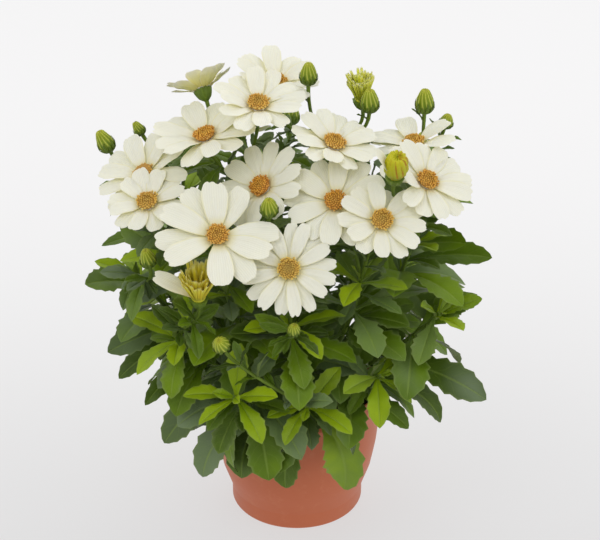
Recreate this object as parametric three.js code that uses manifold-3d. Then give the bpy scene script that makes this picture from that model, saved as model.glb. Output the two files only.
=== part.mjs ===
// A potted African daisy: cream-white blooms with golden discs over toothed green leaves, in a plastic pot.
// Millimetres, +Z up. The origin is the centre of the pot's underside, and the plant's front faces -Y.
import * as THREE from 'three';
import { mergeVertices } from 'three/addons/utils/BufferGeometryUtils.js';
import Module from 'manifold-3d';

const wasm = await Module();
wasm.setup();

const DEGREE = Math.PI / 180;

// Driving dimensions of the pot: radii of its outside with the heights above the ground
const FOOT = { radius: 49.5, height: 13 };
const STEP = { radius: 51.4, height: 18 };
const FLANK = { radius: 56.4, height: 33 };
const BELLY = { radius: 61, height: 62 };
const UNDER_RIM = { radius: 61.6, height: 94 };
const RIM = { radius: 65, height: 105 };
const RIM_SLOPE = 0.5;
const WALL = 2;
const FLOOR = 3;
const POT_SIDES = 32;
const DRAIN_HOLES = 6;
const DRAIN_RADIUS = 4.5;
const DRAIN_RING = 30;
const DRAIN_SIDES = 8;

// The soil: its edge is lower than its middle
const SOIL_SIDES = 20;
const SOIL_EDGE = 92;
const SOIL_TOP = 95.5;
const SOIL_DOME_RADIUS = 36;
const SEAT_GAP = 0.3;
const WALL_GAP = 0.6;
const HOLE_GAP = 0.35;

// Stems
const STEM_FOOT_Z = 74;
const STEM_FOOT_RADIUS = 2.1;
const STEM_TOP_RADIUS = 1.5;
const STEM_SIDES = 5;
const STEM_TURN = Math.PI / 2;
const LONGEST_STEM_STEP = 34;
const FAN_START_Z = 97;
const FULL_SPREAD_Z = 270;
const FOOT_SPREAD = 0.14;

// Flower stalks, with the green cups and the buds that they end in. A head is a list of radii and heights.
const STALK_RADIUS = 1.15;
const STALK_PLACES = [0, 0.5, 1];
const STALK_REACH = 0.38;
const FORK_DROP = 6;
const HEAD_SIDES = 5;
const CUP_HEAD = [[4, 2.2], [6.4, 8.2]];
const CUP_LENGTH = 9.4;
const BUD_TIP_RADIUS = 0.5;
const BUD_SHARES = [[0.36, 0.06], [0.5, 0.34], [0.4, 0.7]];

// Blooms: a hub, petals in two layers and a disc of florets
const HUB_RADIUS = 5.6;
const HUB_HALF = 0.5;
const BRUSH_HUB_RADIUS = 4.2;
const PETAL_THICKNESS = 0.9;
const PETAL_BEND = 20;
const LAYER_STEP = 0.3;
const LAYER_TILT = 3;
const UPPER_FOLD = 0.14;
const LOWER_FOLD = -0.03;
const STRAP_BEND = 8;
const STRAP_FOLD = 0.1;
const INNER_FLARE = 0.3;
const DISC_PROFILE = [[0, 1.2], [5.6, 1.2], [7.2, 2.9], [4.4, 5.1], [0, 5.4]];
const DISC_SIDES = 10;
const DISC_RIPPLE = 0.45;

// Leaves: those of low tiers are long and hang, those of high tiers are shorter and stand steeper.
const LEAF_THICKNESS = 1;
const LEAF_ROOT_HALF = 1;
const LEAF_ROOT_OFFSET = 1.2;
const OUTER_LEAF_FOLD = 0.22;
const SAME_LEVEL = 6;
const LOWEST_LEAF = 108;
const HIGHEST_LEAF = 218;
const LEAFY_LENGTH = 84;
const TIER_BELOW_TOP = 9;
const TUFT_BELOW_TOP = 3;
const LOW_TIER = { length: 60, rise: 30, bend: 82, apart: 72 };
const HIGH_TIER = { length: 52, rise: 40, bend: 40, apart: 98 };
const TIER_TWIST = 26;
const TIER_LEAF_WIDTH = 0.45;
const YOUNG = { length: 36, rise: 34, bend: 34, width: 0.42, fold: 0.25 };
const TUFT_TURN = 50;

// Outlines of the blades: places along the length and half-widths there, as shares of the greatest.
// The ribs are the places where the middle of the blade bends. The root is half of its width where
// the blade is tried against its neighbours.
const PETAL_SHAPE = { rootHalf: 0.8, edge: [[0.42, 0.86], [0.8, 1], [0.97, 0.52]], rib: [0.5] };
const STRAP_SHAPE = { rootHalf: 0.8, edge: [[0.6, 1], [0.92, 0.7]], rib: [0.5] };
const LARGE_LEAF = {
  rootHalf: 2.2,
  edge: [[0.28, 0.3], [0.41, 0.76], [0.48, 0.66], [0.65, 1], [0.72, 0.78], [0.88, 0.54]],
  rib: [0.3, 0.66],
};
const TOOTHED_LEAF = {
  rootHalf: 2.2,
  edge: [[0.3, 0.34], [0.45, 0.84], [0.52, 0.72], [0.69, 1], [0.77, 0.7]],
  rib: [0.4],
};
const YOUNG_LEAF = { rootHalf: 2.2, edge: [[0.36, 0.66], [0.66, 1], [0.88, 0.56]], rib: [0.5] };

// How a blade is tried: thicker, from a little way out, against everything that was made before it
const TRIAL_EXTRA = 0.7;
const TRIAL_START = 4;
const TRIAL_CROSSING = 0.02;
const NODE_CROSSING = 0.00001;
const TRIAL_STEM_STEPS = 12;
const TRIAL_STEM_EXTRA = 0.4;

// What a petal tries in turn: degrees of lift and a share of its length
const PETAL_TRIES = [
  [0, 1], [7, 1], [-7, 1], [14, 1], [-14, 1], [21, 0.95], [-22, 0.95], [30, 0.9], [-32, 0.9], [42, 0.85],
  [54, 0.8],
];
// What a strap of an opening or closing bloom tries in turn: degrees of lean
const STRAP_TRIES = [0, -8, 8, -14];
// What a leaf of a tier or a tuft tries in turn: degrees aside and up, and a share of its size
const LEAF_TRIES = [
  [0, 0, 1], [22, 0, 1], [-22, 0, 1], [0, 16, 1], [0, -16, 0.95], [44, 8, 0.95], [-44, 8, 0.95],
  [20, 28, 0.88], [-20, 28, 0.88], [72, 12, 0.85], [-72, 12, 0.85], [0, 40, 0.8], [110, 20, 0.7],
  [-110, 20, 0.7], [0, 10, 0.6], [40, 30, 0.6], [-40, 30, 0.6],
];
// What an outer leaf tries in turn: a shift of its tip
const TIP_NUDGES = [
  [0, 0, 0], [0, 0, 6], [0, 0, -6], [6, 0, 0], [-6, 0, 0], [0, -7, 0], [0, 0, 12], [0, -7, 8],
  [8, -6, 0], [-8, -6, 0], [0, -12, -4], [12, 0, 6], [-12, 0, 6], [0, -16, 0],
];

// The parts of the plant draw their repeatable numbers from these places on.
const STRAP_DRAWS = 700;
const TIER_DRAWS = 1000;
const TUFT_DRAWS = 2000;
const DRAWS_EACH = 31;

// The leafy shoots: where the leafy part ends, how many tiers of leaves it has, how many leaves are in a
// tier and how many young ones stand round its tip. A low shoot leans out over the rim; an upper one
// carries the flower stalks.
const SHOOTS = [
  { name: 'left_upper', top: [-84, -42, 232], tiers: 3, leaves: 3, tuft: 3 },
  { name: 'front_left', top: [-48, -78, 222], tiers: 3, leaves: 3, tuft: 3 },
  { name: 'front', top: [-4, -96, 206], tiers: 3, leaves: 3, tuft: 4 },
  { name: 'front_right', top: [44, -76, 230], tiers: 3, leaves: 3, tuft: 4 },
  { name: 'right_upper', top: [80, -40, 240], tiers: 3, leaves: 3, tuft: 4 },
  { name: 'middle', top: [16, -34, 256], tiers: 1, leaves: 3, tuft: 2 },
  { name: 'middle_left', top: [-38, -14, 262], tiers: 1, leaves: 3, tuft: 2 },
  { name: 'crown', top: [18, 16, 272], tiers: 1, leaves: 3, tuft: 2 },
  { name: 'right_back', top: [86, 10, 262], tiers: 3, leaves: 3, tuft: 4 },
  { name: 'low_star', top: [-43, -112, 158], tiers: 2, leaves: 3, tuft: 5 },
  { name: 'low_left_front', top: [-82, -82, 188], tiers: 3, leaves: 3, tuft: 5 },
  { name: 'low_left', top: [-112, -22, 200], tiers: 3, leaves: 3, tuft: 4 },
  { name: 'low_right', top: [100, -56, 192], tiers: 3, leaves: 3, tuft: 4 },
  { name: 'low_right_front', top: [58, -88, 160], tiers: 2, leaves: 3, tuft: 5 },
  { name: 'low_front', top: [8, -106, 146], tiers: 2, leaves: 3, tuft: 4 },
  { name: 'left_back', top: [-84, 56, 226], tiers: 3, leaves: 3, tuft: 3 },
  { name: 'back', top: [-14, 84, 236], tiers: 3, leaves: 3, tuft: 3 },
  { name: 'back_right', top: [64, 72, 222], tiers: 3, leaves: 3, tuft: 3 },
  { name: 'low_side_left', top: [-98, 26, 162], tiers: 2, leaves: 3, tuft: 4 },
  { name: 'low_back_left', top: [-52, 92, 160], tiers: 2, leaves: 3, tuft: 4 },
  { name: 'low_back', top: [26, 104, 164], tiers: 2, leaves: 3, tuft: 4 },
  { name: 'low_side_right', top: [96, 40, 166], tiers: 2, leaves: 3, tuft: 4 },
];

function numbered(list) {
  return list.map((entry, i) => ({ n: i + 1, ...entry }));
}

// The open blooms: the middle of the hub, where it faces (turn from the front, height above level),
// its radius, and the number, width and rise of its petals. Petals that are listed as fallen are missing.
const BLOOMS = numbered([
  {
    shoot: 'front_left', at: [-52, -100, 276], faces: [0, 56], radius: 41, petals: 12, wide: 15.5, rise: 6,
    fallen: [8],
  },
  { shoot: 'front', at: [-5, -112, 258], faces: [0, 41], radius: 32.5, petals: 17, wide: 9, rise: 4 },
  { shoot: 'front_right', at: [56, -90, 282], faces: [15, 52], radius: 29.5, petals: 13, wide: 11, rise: 8 },
  { shoot: 'front_right', at: [26, -76, 289], faces: [-10, 55], radius: 36, petals: 12, wide: 13.5, rise: 5 },
  { shoot: 'middle', at: [-23, -56, 290], faces: [-45, 46], radius: 34, petals: 11, wide: 12, rise: 12 },
  { shoot: 'right_upper', at: [87, -60, 296], faces: [40, 57], radius: 33, petals: 13, wide: 12.5, rise: 8 },
  { shoot: 'middle', at: [25, -44, 316], faces: [45, 71], radius: 31, petals: 12, wide: 12.5, rise: 14 },
  { shoot: 'left_upper', at: [-100, -64, 282], faces: [-23, 65], radius: 28, petals: 12, wide: 11, rise: 6 },
  { shoot: 'left_upper', at: [-104, -38, 291], faces: [-55, 60], radius: 35, petals: 12, wide: 13, rise: 14 },
  { shoot: 'middle_left', at: [-62, -28, 314], faces: [-57, 72], radius: 37, petals: 12, wide: 14, rise: 9 },
  { shoot: 'middle_left', at: [-26, -22, 335], faces: [3, 73], radius: 33, petals: 12, wide: 12.5, rise: 14 },
  { shoot: 'crown', at: [-15, 14, 336], faces: [49, 78], radius: 33, petals: 10, wide: 13, rise: 20 },
  { shoot: 'right_back', at: [81, -16, 303], faces: [-93, 84], radius: 31, petals: 10, wide: 13, rise: 12 },
  { shoot: 'left_back', at: [-66, 18, 330], faces: [-149, 48], radius: 25, petals: 10, wide: 11.5, rise: 26 },
  { shoot: 'back', at: [-44, 84, 266], faces: [200, 50], radius: 33, petals: 11, wide: 13, rise: 8 },
  { shoot: 'back_right', at: [48, 78, 262], faces: [155, 56], radius: 34, petals: 11, wide: 13, rise: 8 },
]);

// Blooms that are opening or closing: upright straps in a green cup
const BRUSHES = numbered([
  { shoot: 'crown', at: [45, 2, 330], faces: [-40, 80], straps: 12, tall: 19, flare: 16, wide: 4.2 },
  { shoot: 'low_left_front', at: [-65, -112, 237], faces: [0, 76], straps: 13, tall: 25, flare: 21, wide: 4 },
  { shoot: 'right_upper', at: [65, -77, 310], faces: [10, 68], straps: 7, tall: 18, flare: 9, wide: 3.6 },
]);

// Closed buds: the middle of the foot, where the tip points, width and length
const BUDS = [
  { shoot: 'crown', at: [8, 0, 341], faces: [10, 84], size: [12, 17] },
  { shoot: 'crown', at: [50, -10, 325], faces: [0, 82], size: [13, 18] },
  { shoot: 'right_back', at: [89, 8, 316], faces: [0, 84], size: [13, 19] },
  { shoot: 'right_back', at: [104, 14, 302], faces: [60, 76], size: [10, 11] },
  { shoot: 'left_upper', at: [-130, -4, 292], faces: [-80, 66], size: [12, 18] },
  { shoot: 'left_back', at: [-108, 6, 300], faces: [-100, 60], size: [8, 11] },
  { shoot: 'low_left', at: [-99, -84, 245], faces: [-30, 74], size: [11, 15] },
  { shoot: 'front_left', at: [-18, -88, 286], faces: [0, 70], size: [12, 15] },
  { shoot: 'low_front', at: [-49, -126, 206], faces: [-20, 56], size: [12, 12] },
  { shoot: 'front', at: [-2, -124, 216], faces: [10, 66], size: [9, 10] },
  { shoot: 'back', at: [-4, 100, 264], faces: [180, 70], size: [12, 17] },
  { shoot: 'back_right', at: [88, 60, 260], faces: [130, 66], size: [11, 16] },
];

// Leaves that shape the plant's outline: height of the root on its shoot, the tip, the width,
// the bend over the whole length and the roll about it.
const OUTER_LEAVES = [
  { shoot: 'right_back', root: 222, tip: [106, -22, 262], wide: 19, bend: 20, roll: -70 },
  { shoot: 'right_back', root: 205, tip: [119, -30, 233], wide: 24, bend: 30, roll: -45 },
  { shoot: 'right_back', root: 196, tip: [139, -18, 215], wide: 23, bend: 30, roll: -40 },
  { shoot: 'low_right', root: 186, tip: [130, -50, 206], wide: 15, bend: 25, roll: -30 },
  { shoot: 'low_right', root: 177, tip: [122, -30, 187], wide: 20, bend: 30, roll: -30 },
  { shoot: 'low_right', root: 168, tip: [117, -40, 140], wide: 14, bend: 60, roll: 40 },
  { shoot: 'low_right', root: 142, tip: [135, -66, 126], wide: 27, bend: 34, roll: -52 },
  { shoot: 'low_right_front', root: 134, tip: [104, -56, 100], wide: 22, bend: 92, roll: -38 },
  { shoot: 'low_right_front', root: 128, tip: [80, -70, 104], wide: 19, bend: 40, roll: -25 },
  { shoot: 'low_right_front', root: 148, tip: [66, -88, 172], wide: 15, bend: 20, roll: -20 },
  { shoot: 'low_front', root: 132, tip: [40, -86, 92], wide: 22, bend: 80, roll: -15 },
  { shoot: 'low_front', root: 122, tip: [34, -80, 58], wide: 31, bend: 75, roll: -105 },
  { shoot: 'low_front', root: 116, tip: [-8, -84, 62], wide: 25, bend: 75, roll: 5 },
  { shoot: 'low_star', root: 126, tip: [-25, -86, 76], wide: 22, bend: 80, roll: 10 },
  { shoot: 'low_star', root: 134, tip: [-42, -86, 78], wide: 23, bend: 85, roll: 0 },
  { shoot: 'low_star', root: 120, tip: [-68, -76, 66], wide: 27, bend: 70, roll: 48 },
  { shoot: 'low_left_front', root: 130, tip: [-96, -62, 86], wide: 27, bend: 40, roll: 50 },
  { shoot: 'low_left_front', root: 120, tip: [-80, -66, 86], wide: 22, bend: 70, roll: 35 },
  { shoot: 'low_left', root: 150, tip: [-129, -38, 126], wide: 19, bend: 45, roll: 35 },
  { shoot: 'low_left', root: 136, tip: [-109, -58, 116], wide: 16, bend: 50, roll: 40 },
  { shoot: 'low_left', root: 161, tip: [-135, -47, 154], wide: 24, bend: 20, roll: 45 },
  { shoot: 'low_left', root: 196, tip: [-147, -44, 219], wide: 22, bend: 24, roll: 45 },
  { shoot: 'left_upper', root: 205, tip: [-122, -55, 202], wide: 18, bend: 40, roll: 30 },
  { shoot: 'left_back', root: 200, tip: [-141, 5, 212], wide: 16, bend: 30, roll: 10 },
  { shoot: 'left_upper', root: 215, tip: [-125, -12, 240], wide: 24, bend: 25, roll: 55 },
];

// Gaps in the foliage: boxes that no tip of a leaf of a tier or a tuft is in
const FOLIAGE_GAPS = [
  { low: [30, -104, 0], high: [112, -10, 98] },
  { low: [84, -96, 98], high: [160, 12, 152] },
  { low: [103, -92, 152], high: [160, 12, 178] },
  { low: [-160, -60, 112], high: [-133, 30, 206] },
];

const material = (color, roughness) => new THREE.MeshStandardMaterial({ color, roughness, metalness: 0 });
const POT_PLASTIC = material(0xb85f41, 0.5);
const SOIL_BROWN = material(0x33241a, 0.95);
const LEAF_GREEN = material(0x4f7d1c, 0.45);
const PETAL_CREAM = material(0xf1eee0, 0.5);
const STRAP_YELLOW = material(0xe0cf58, 0.5);
const DISC_ORANGE = material(0xc88a30, 0.7);

const plant = new THREE.Group();
plant.name = 'potted_african_daisy';

// A closed three.js geometry as a solid.
function solidOf(geometry) {
  const bare = new THREE.BufferGeometry();
  bare.setAttribute('position', geometry.getAttribute('position'));
  bare.setIndex(geometry.getIndex());
  const merged = mergeVertices(bare, 1e-4);
  return solidFrom(Array.from(merged.attributes.position.array), Array.from(merged.index.array));
}

// A solid from points and corners, turned face outwards where its corners run the wrong way.
function solidFrom(points, corners) {
  const build = (triangles) => new wasm.Manifold(new wasm.Mesh({
    numProp: 3,
    vertProperties: new Float32Array(points),
    triVerts: new Uint32Array(triangles),
  }));
  const made = build(corners);
  if (made.volume() >= 0) return made;
  const turned = [];
  for (let i = 0; i < corners.length; i += 3) turned.push(corners[i], corners[i + 2], corners[i + 1]);
  return build(turned);
}

// The largest closed body of a solid: loose scraps and sealed hollows are dropped.
function mainBody(solid) {
  const bodies = solid.decompose();
  return bodies.reduce((best, body) => (body.volume() > best.volume() ? body : best));
}

function addNode(name, solid, finish) {
  const mesh = mainBody(solid).getMesh();
  const geometry = new THREE.BufferGeometry();
  geometry.setAttribute('position', new THREE.BufferAttribute(new Float32Array(mesh.vertProperties), 3));
  geometry.setIndex(new THREE.BufferAttribute(new Uint32Array(mesh.triVerts), 1));
  geometry.computeVertexNormals();
  const node = new THREE.Mesh(geometry, finish);
  node.name = name;
  plant.add(node);
}

// A repeatable number from 0 to 1 for one part of the plant.
function chance(part, draw) {
  const value = Math.sin(part * 12.9898 + draw * 78.233) * 43758.5453;
  return value - Math.floor(value);
}

const vary = (part, draw, range) => (2 * chance(part, draw) - 1) * range;
const blend = (low, high, share) => low + (high - low) * share;
const clamp = (value) => Math.min(Math.max(value, 0), 1);
const vector = (list) => new THREE.Vector3(...list);
const placesOf = (count) => Array.from({ length: count }, (_, i) => i);

// The direction that a turn from the front and a height above level give.
function direction(turn, height) {
  return new THREE.Vector3(
    Math.sin(turn * DEGREE) * Math.cos(height * DEGREE),
    -Math.cos(turn * DEGREE) * Math.cos(height * DEGREE),
    Math.sin(height * DEGREE),
  );
}

// A flower's own axes: right and up across it as seen from its front, and out along its face.
function flowerAxes([turn, height]) {
  const out = direction(turn, height);
  const right = new THREE.Vector3(Math.cos(turn * DEGREE), Math.sin(turn * DEGREE), 0);
  return { right, up: new THREE.Vector3().crossVectors(out, right), out };
}

// The direction across a flower at an angle from its right.
function acrossFlower(axes, angle) {
  return axes.right.clone().multiplyScalar(Math.cos(angle)).addScaledVector(axes.up, Math.sin(angle));
}

// The first direction of a blade that rises from a flower's plane, and the way its face looks.
function risingFrom(axes, radial, rise) {
  return {
    along: radial.clone().multiplyScalar(Math.cos(rise)).addScaledVector(axes.out, Math.sin(rise)),
    up: axes.out.clone().multiplyScalar(Math.cos(rise)).addScaledVector(radial, -Math.sin(rise)),
  };
}

// Two directions across a rod's tangent.
function crossAxes(tangent) {
  const across = new THREE.Vector3(1, 0, 0).cross(tangent).normalize();
  return { across, aside: new THREE.Vector3().crossVectors(tangent, across) };
}

// A rod through rows of middle, tangent and radius.
function sweptRod(rows, sides) {
  const geometry = new THREE.CylinderGeometry(1, 1, 1, sides, rows.length - 1);
  const place = geometry.attributes.position;
  for (let i = 0; i < place.count; i += 1) {
    const row = rows[Math.round((place.getY(i) + 0.5) * (rows.length - 1))];
    const { across, aside } = crossAxes(row.tangent);
    const spot = row.middle.clone()
      .addScaledVector(across, place.getZ(i) * row.radius)
      .addScaledVector(aside, place.getX(i) * row.radius);
    place.setXYZ(i, spot.x, spot.y, spot.z);
  }
  return solidOf(geometry);
}

// Points and corners that grow into one closed mesh
class MeshDraft {
  constructor() {
    this.points = [];
    this.corners = [];
  }

  put(point) {
    return this.points.push(point.x, point.y, point.z) / 3 - 1;
  }

  facet(a, b, c) {
    this.corners.push(a, b, c);
  }

  solid() {
    return solidFrom(this.points, this.corners);
  }
}

// The place on a bent, rolled blade at a share of its length, so far across and above its middle.
function bladeSpot({ root, along, up, length, bend, fold, roll }, share, across, lift) {
  const side = new THREE.Vector3().crossVectors(along, up);
  const turn = bend * DEGREE * share;
  const rolled = roll * DEGREE * share;
  const normal = up.clone().multiplyScalar(Math.cos(turn)).addScaledVector(along, Math.sin(turn));
  const sideways = side.clone().multiplyScalar(Math.cos(rolled)).addScaledVector(normal, Math.sin(rolled));
  const outward = normal.clone().multiplyScalar(Math.cos(rolled)).addScaledVector(side, -Math.sin(rolled));
  const arc = length / (bend * DEGREE);
  return root.clone()
    .addScaledVector(along, arc * Math.sin(turn))
    .addScaledVector(up, -arc * (1 - Math.cos(turn)))
    .addScaledVector(sideways, across)
    .addScaledVector(outward, lift + Math.abs(across) * fold);
}

// A leaf or a petal on a draft: a lens-shaped blade from four root points to a pointed tip.
// Both faces are split alike between the middle and each edge.
function growBlade(draft, blade, { topRoot, underRoot, rightRoot, leftRoot }) {
  const { shape, wide, thick } = blade;
  const rise = shape.rib.map((share) => bladeSpot(blade, share, 0, thick / 2));
  const drop = shape.rib.map((share) => bladeSpot(blade, share, 0, -thick / 2));
  const top = [topRoot, ...rise.map((spot) => draft.put(spot))];
  const under = [underRoot, ...drop.map((spot) => draft.put(spot))];
  const tip = draft.put(bladeSpot(blade, 1, 0, 0));
  for (const hand of [1, -1]) {
    const spots = shape.edge.map(([share, half]) => bladeSpot(blade, share, hand * half * wide / 2, 0));
    const edge = [hand > 0 ? rightRoot : leftRoot, ...spots.map((spot) => draft.put(spot))];
    for (const face of [1, -1]) {
      const rib = face > 0 ? top : under;
      const facet = (a, b, c) => (hand * face > 0 ? draft.facet(a, b, c) : draft.facet(a, c, b));
      let e = 0;
      let r = 0;
      while (e < edge.length - 1 || r < rib.length - 1) {
        const edgeNext = e < edge.length - 1 ? shape.edge[e][0] : Infinity;
        const ribNext = r < rib.length - 1 ? shape.rib[r] : Infinity;
        if (edgeNext <= ribNext) {
          facet(rib[r], edge[e], edge[e + 1]);
          e += 1;
        } else {
          facet(rib[r], edge[e], rib[r + 1]);
          r += 1;
        }
      }
      facet(rib[r], edge[e], tip);
    }
  }
}

// A blade by itself, with its root cut square.
function bladeSolid(blade) {
  const draft = new MeshDraft();
  const { rootHalf } = blade.shape;
  const roots = {
    topRoot: draft.put(bladeSpot(blade, 0, 0, rootHalf)),
    underRoot: draft.put(bladeSpot(blade, 0, 0, -rootHalf)),
    rightRoot: draft.put(bladeSpot(blade, 0, rootHalf, 0)),
    leftRoot: draft.put(bladeSpot(blade, 0, -rootHalf, 0)),
  };
  growBlade(draft, blade, roots);
  draft.facet(roots.topRoot, roots.underRoot, roots.rightRoot);
  draft.facet(roots.topRoot, roots.leftRoot, roots.underRoot);
  return draft.solid();
}

// How far out from the axis a shoot has spread at a height, as a share of its full spread.
function spread(z) {
  const climb = clamp((z - FAN_START_Z) / (FULL_SPREAD_Z - FAN_START_Z));
  return blend(FOOT_SPREAD, 1, Math.sin(climb * Math.PI / 2));
}

// The middle of a shoot at a height. All shoots fan out by one rule, so none meets another.
function shootPoint(shoot, z) {
  const share = spread(z) / spread(shoot.top[2]);
  return new THREE.Vector3(shoot.top[0] * share, shoot.top[1] * share, z);
}

// The direction in which a shoot grows at a height: straight up in the soil.
function shootTangent(shoot, z) {
  if (z <= FAN_START_Z) return new THREE.Vector3(0, 0, 1);
  return shootPoint(shoot, z + 0.5).sub(shootPoint(shoot, z - 0.5)).normalize();
}

const stemRadius = (shoot, z) => (
  blend(STEM_FOOT_RADIUS, STEM_TOP_RADIUS, (z - STEM_FOOT_Z) / (shoot.top[2] - STEM_FOOT_Z))
);

// The solids made so far, with the node that each belongs to: the list that new blades keep clear of.
const taken = [];

function take(node, solid) {
  taken.push({ node, solid, box: solid.boundingBox() });
}

function boxesMeet(a, b) {
  return [0, 1, 2].every((k) => a.min[k] <= b.max[k] && b.min[k] <= a.max[k]);
}

// True where a trial solid stays out of every solid made so far, apart from those it may grow into.
function isClear(trial, mayMeet, limit) {
  const box = trial.boundingBox();
  return taken.every((other) => mayMeet(other.node) || !boxesMeet(box, other.box)
    || trial.intersect(other.solid).volume() < limit);
}

// The first of several settings of a blade that stays clear of everything, or nothing. It is tried
// thicker than it is, from just outside its stem or hub, and then whole against the other nodes.
function clearBlade(node, settings) {
  for (const setting of settings) {
    const trial = bladeSolid({
      ...setting,
      root: setting.root.clone().addScaledVector(setting.along, TRIAL_START),
      length: setting.length - TRIAL_START,
      thick: setting.thick + TRIAL_EXTRA,
    });
    const whole = bladeSolid(setting);
    const clearOfAll = isClear(trial, () => false, TRIAL_CROSSING);
    if (clearOfAll && isClear(whole, (other) => other === node, NODE_CROSSING)) {
      take(node, whole);
      return setting;
    }
  }
  return null;
}

// A profile of radii and heights, turned about the upright axis.
function turned(points, sides) {
  const geometry = new THREE.LatheGeometry(points.map(([radius, z]) => new THREE.Vector2(radius, z)), sides);
  return geometry.rotateX(Math.PI / 2);
}

// The outside of the pot runs up to the rim, and the inside runs back down a wall's thickness in.
function pot() {
  const outside = [FOOT, STEP, FLANK, BELLY, UNDER_RIM];
  const points = [
    [0, 0],
    [FOOT.radius, 0],
    ...outside.map(({ radius, height }) => [radius, height]),
    [RIM.radius, UNDER_RIM.height + RIM_SLOPE],
    [RIM.radius, RIM.height],
    [RIM.radius - WALL, RIM.height],
    ...[UNDER_RIM, BELLY, FLANK].map(({ radius, height }) => [radius - WALL, height - RIM_SLOPE]),
    [FOOT.radius - WALL, FLOOR],
    [0, FLOOR],
  ];
  const shell = turned(points, POT_SIDES);
  const holes = placesOf(DRAIN_HOLES).map((i) => {
    const turn = 2 * Math.PI * i / DRAIN_HOLES;
    const hole = new THREE.CylinderGeometry(DRAIN_RADIUS, DRAIN_RADIUS, 4 * FLOOR, DRAIN_SIDES);
    hole.rotateX(Math.PI / 2);
    hole.translate(DRAIN_RING * Math.cos(turn), DRAIN_RING * Math.sin(turn), 0);
    return solidOf(hole);
  });
  return solidOf(shell).subtract(wasm.Manifold.union(holes));
}

// The soil follows the inside of the pot, with a plain hole for each stem.
function soil() {
  const inside = WALL + WALL_GAP;
  const points = [
    [0, FLOOR + SEAT_GAP],
    [FOOT.radius - inside, FLOOR + SEAT_GAP],
    ...[FLANK, BELLY].map(({ radius, height }) => [radius - inside, height]),
    [BELLY.radius - inside, SOIL_EDGE],
    [SOIL_DOME_RADIUS, SOIL_TOP],
    [0, SOIL_TOP],
  ];
  const filling = turned(points, SOIL_SIDES);
  const height = FAN_START_Z - STEM_FOOT_Z + 2 * SEAT_GAP;
  const radius = STEM_FOOT_RADIUS + HOLE_GAP;
  const holes = SHOOTS.map((shoot) => {
    const hole = new THREE.CylinderGeometry(radius, radius, height, STEM_SIDES, 1, false, ringAngle(0));
    hole.rotateX(Math.PI / 2);
    const foot = shootPoint(shoot, STEM_FOOT_Z);
    hole.translate(foot.x, foot.y, STEM_FOOT_Z - SEAT_GAP + height / 2);
    return solidOf(hole);
  });
  return solidOf(filling).subtract(wasm.Manifold.union(holes));
}

// What grows on each shoot: the leaves by level, and the stalks with their heads
const growth = new Map();
const shootNamed = (name) => SHOOTS.find((shoot) => shoot.name === name);
const stemNode = (name) => `shoot_${name}`;

// The space that a stem takes: its own rod, a little thicker.
function stemSpace(shoot) {
  const rows = placesOf(TRIAL_STEM_STEPS + 1).map((step) => {
    const z = blend(STEM_FOOT_Z, shoot.top[2], step / TRIAL_STEM_STEPS);
    return {
      middle: shootPoint(shoot, z),
      tangent: shootTangent(shoot, z),
      radius: stemRadius(shoot, z) + TRIAL_STEM_EXTRA,
    };
  });
  return sweptRod(rows, STEM_SIDES);
}

// A flower stalk from the top of its shoot, with the cup or the bud that it ends in, as one swept body.
function stalkWithHead(shoot, end, axes, head) {
  const fork = shootPoint(shoot, shoot.top[2] - FORK_DROP);
  const rise = shootPoint(shoot, shoot.top[2]).sub(fork).normalize();
  const reach = fork.distanceTo(end) * STALK_REACH;
  const path = new THREE.CubicBezierCurve3(
    fork,
    fork.clone().addScaledVector(rise, reach),
    end.clone().addScaledVector(axes.out, -reach),
    end,
  );
  const rows = STALK_PLACES.map((share) => (
    { middle: path.getPoint(share), tangent: path.getTangent(share), radius: STALK_RADIUS }
  ));
  head.forEach(([radius, height]) => rows.push(
    { middle: end.clone().addScaledVector(axes.out, height), tangent: axes.out, radius },
  ));
  return sweptRod(rows, HEAD_SIDES);
}

function addStalk(shootName, end, axes, head) {
  const solid = stalkWithHead(shootNamed(shootName), end, axes, head);
  growth.get(shootName).stalks.push(solid);
  take(stemNode(shootName), solid);
}

// The radii and heights of a bud of a width and a length
function budHead([wide, long]) {
  return [...BUD_SHARES.map(([across, height]) => [wide * across, long * height]), [BUD_TIP_RADIUS, long]];
}

for (const shoot of SHOOTS) {
  growth.set(shoot.name, { levels: [], stalks: [] });
  take(stemNode(shoot.name), stemSpace(shoot));
}
for (const flower of [...BLOOMS, ...BRUSHES]) {
  const axes = flowerAxes(flower.faces);
  addStalk(flower.shoot, vector(flower.at).addScaledVector(axes.out, -CUP_LENGTH), axes, CUP_HEAD);
}
for (const bud of BUDS) addStalk(bud.shoot, vector(bud.at), flowerAxes(bud.faces), budHead(bud.size));

// A disc of florets: a turned profile, with every second point of its sides drawn in or out.
function disc(bloom) {
  const axes = flowerAxes(bloom.faces);
  const outline = DISC_PROFILE.map(([radius, height]) => new THREE.Vector2(radius, height));
  const geometry = new THREE.LatheGeometry(outline, DISC_SIDES);
  const place = geometry.attributes.position;
  for (let i = 0; i < place.count; i += 1) {
    const column = Math.floor(i / DISC_PROFILE.length) % DISC_SIDES;
    const row = i % DISC_PROFILE.length;
    const [radius, height] = DISC_PROFILE[row];
    const angle = 2 * Math.PI * column / DISC_SIDES;
    const wave = radius === 0 ? 0 : DISC_RIPPLE * ((column + row) % 2 ? -1 : 1);
    const spot = vector(bloom.at)
      .addScaledVector(acrossFlower(axes, angle), radius + wave)
      .addScaledVector(axes.out, height);
    place.setXYZ(i, spot.x, spot.y, spot.z);
  }
  return solidOf(geometry);
}

const petalAngle = (bloom, i) => (360 * (i + 0.5 * chance(bloom.n, 9)) / bloom.petals) * DEGREE;

// Petals stand in two layers; where the number is odd, one stands between them.
function petalLayer(bloom, i) {
  return i === bloom.petals - 1 && i % 2 === 0 ? 0 : 2 * (i % 2) - 1;
}

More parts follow.
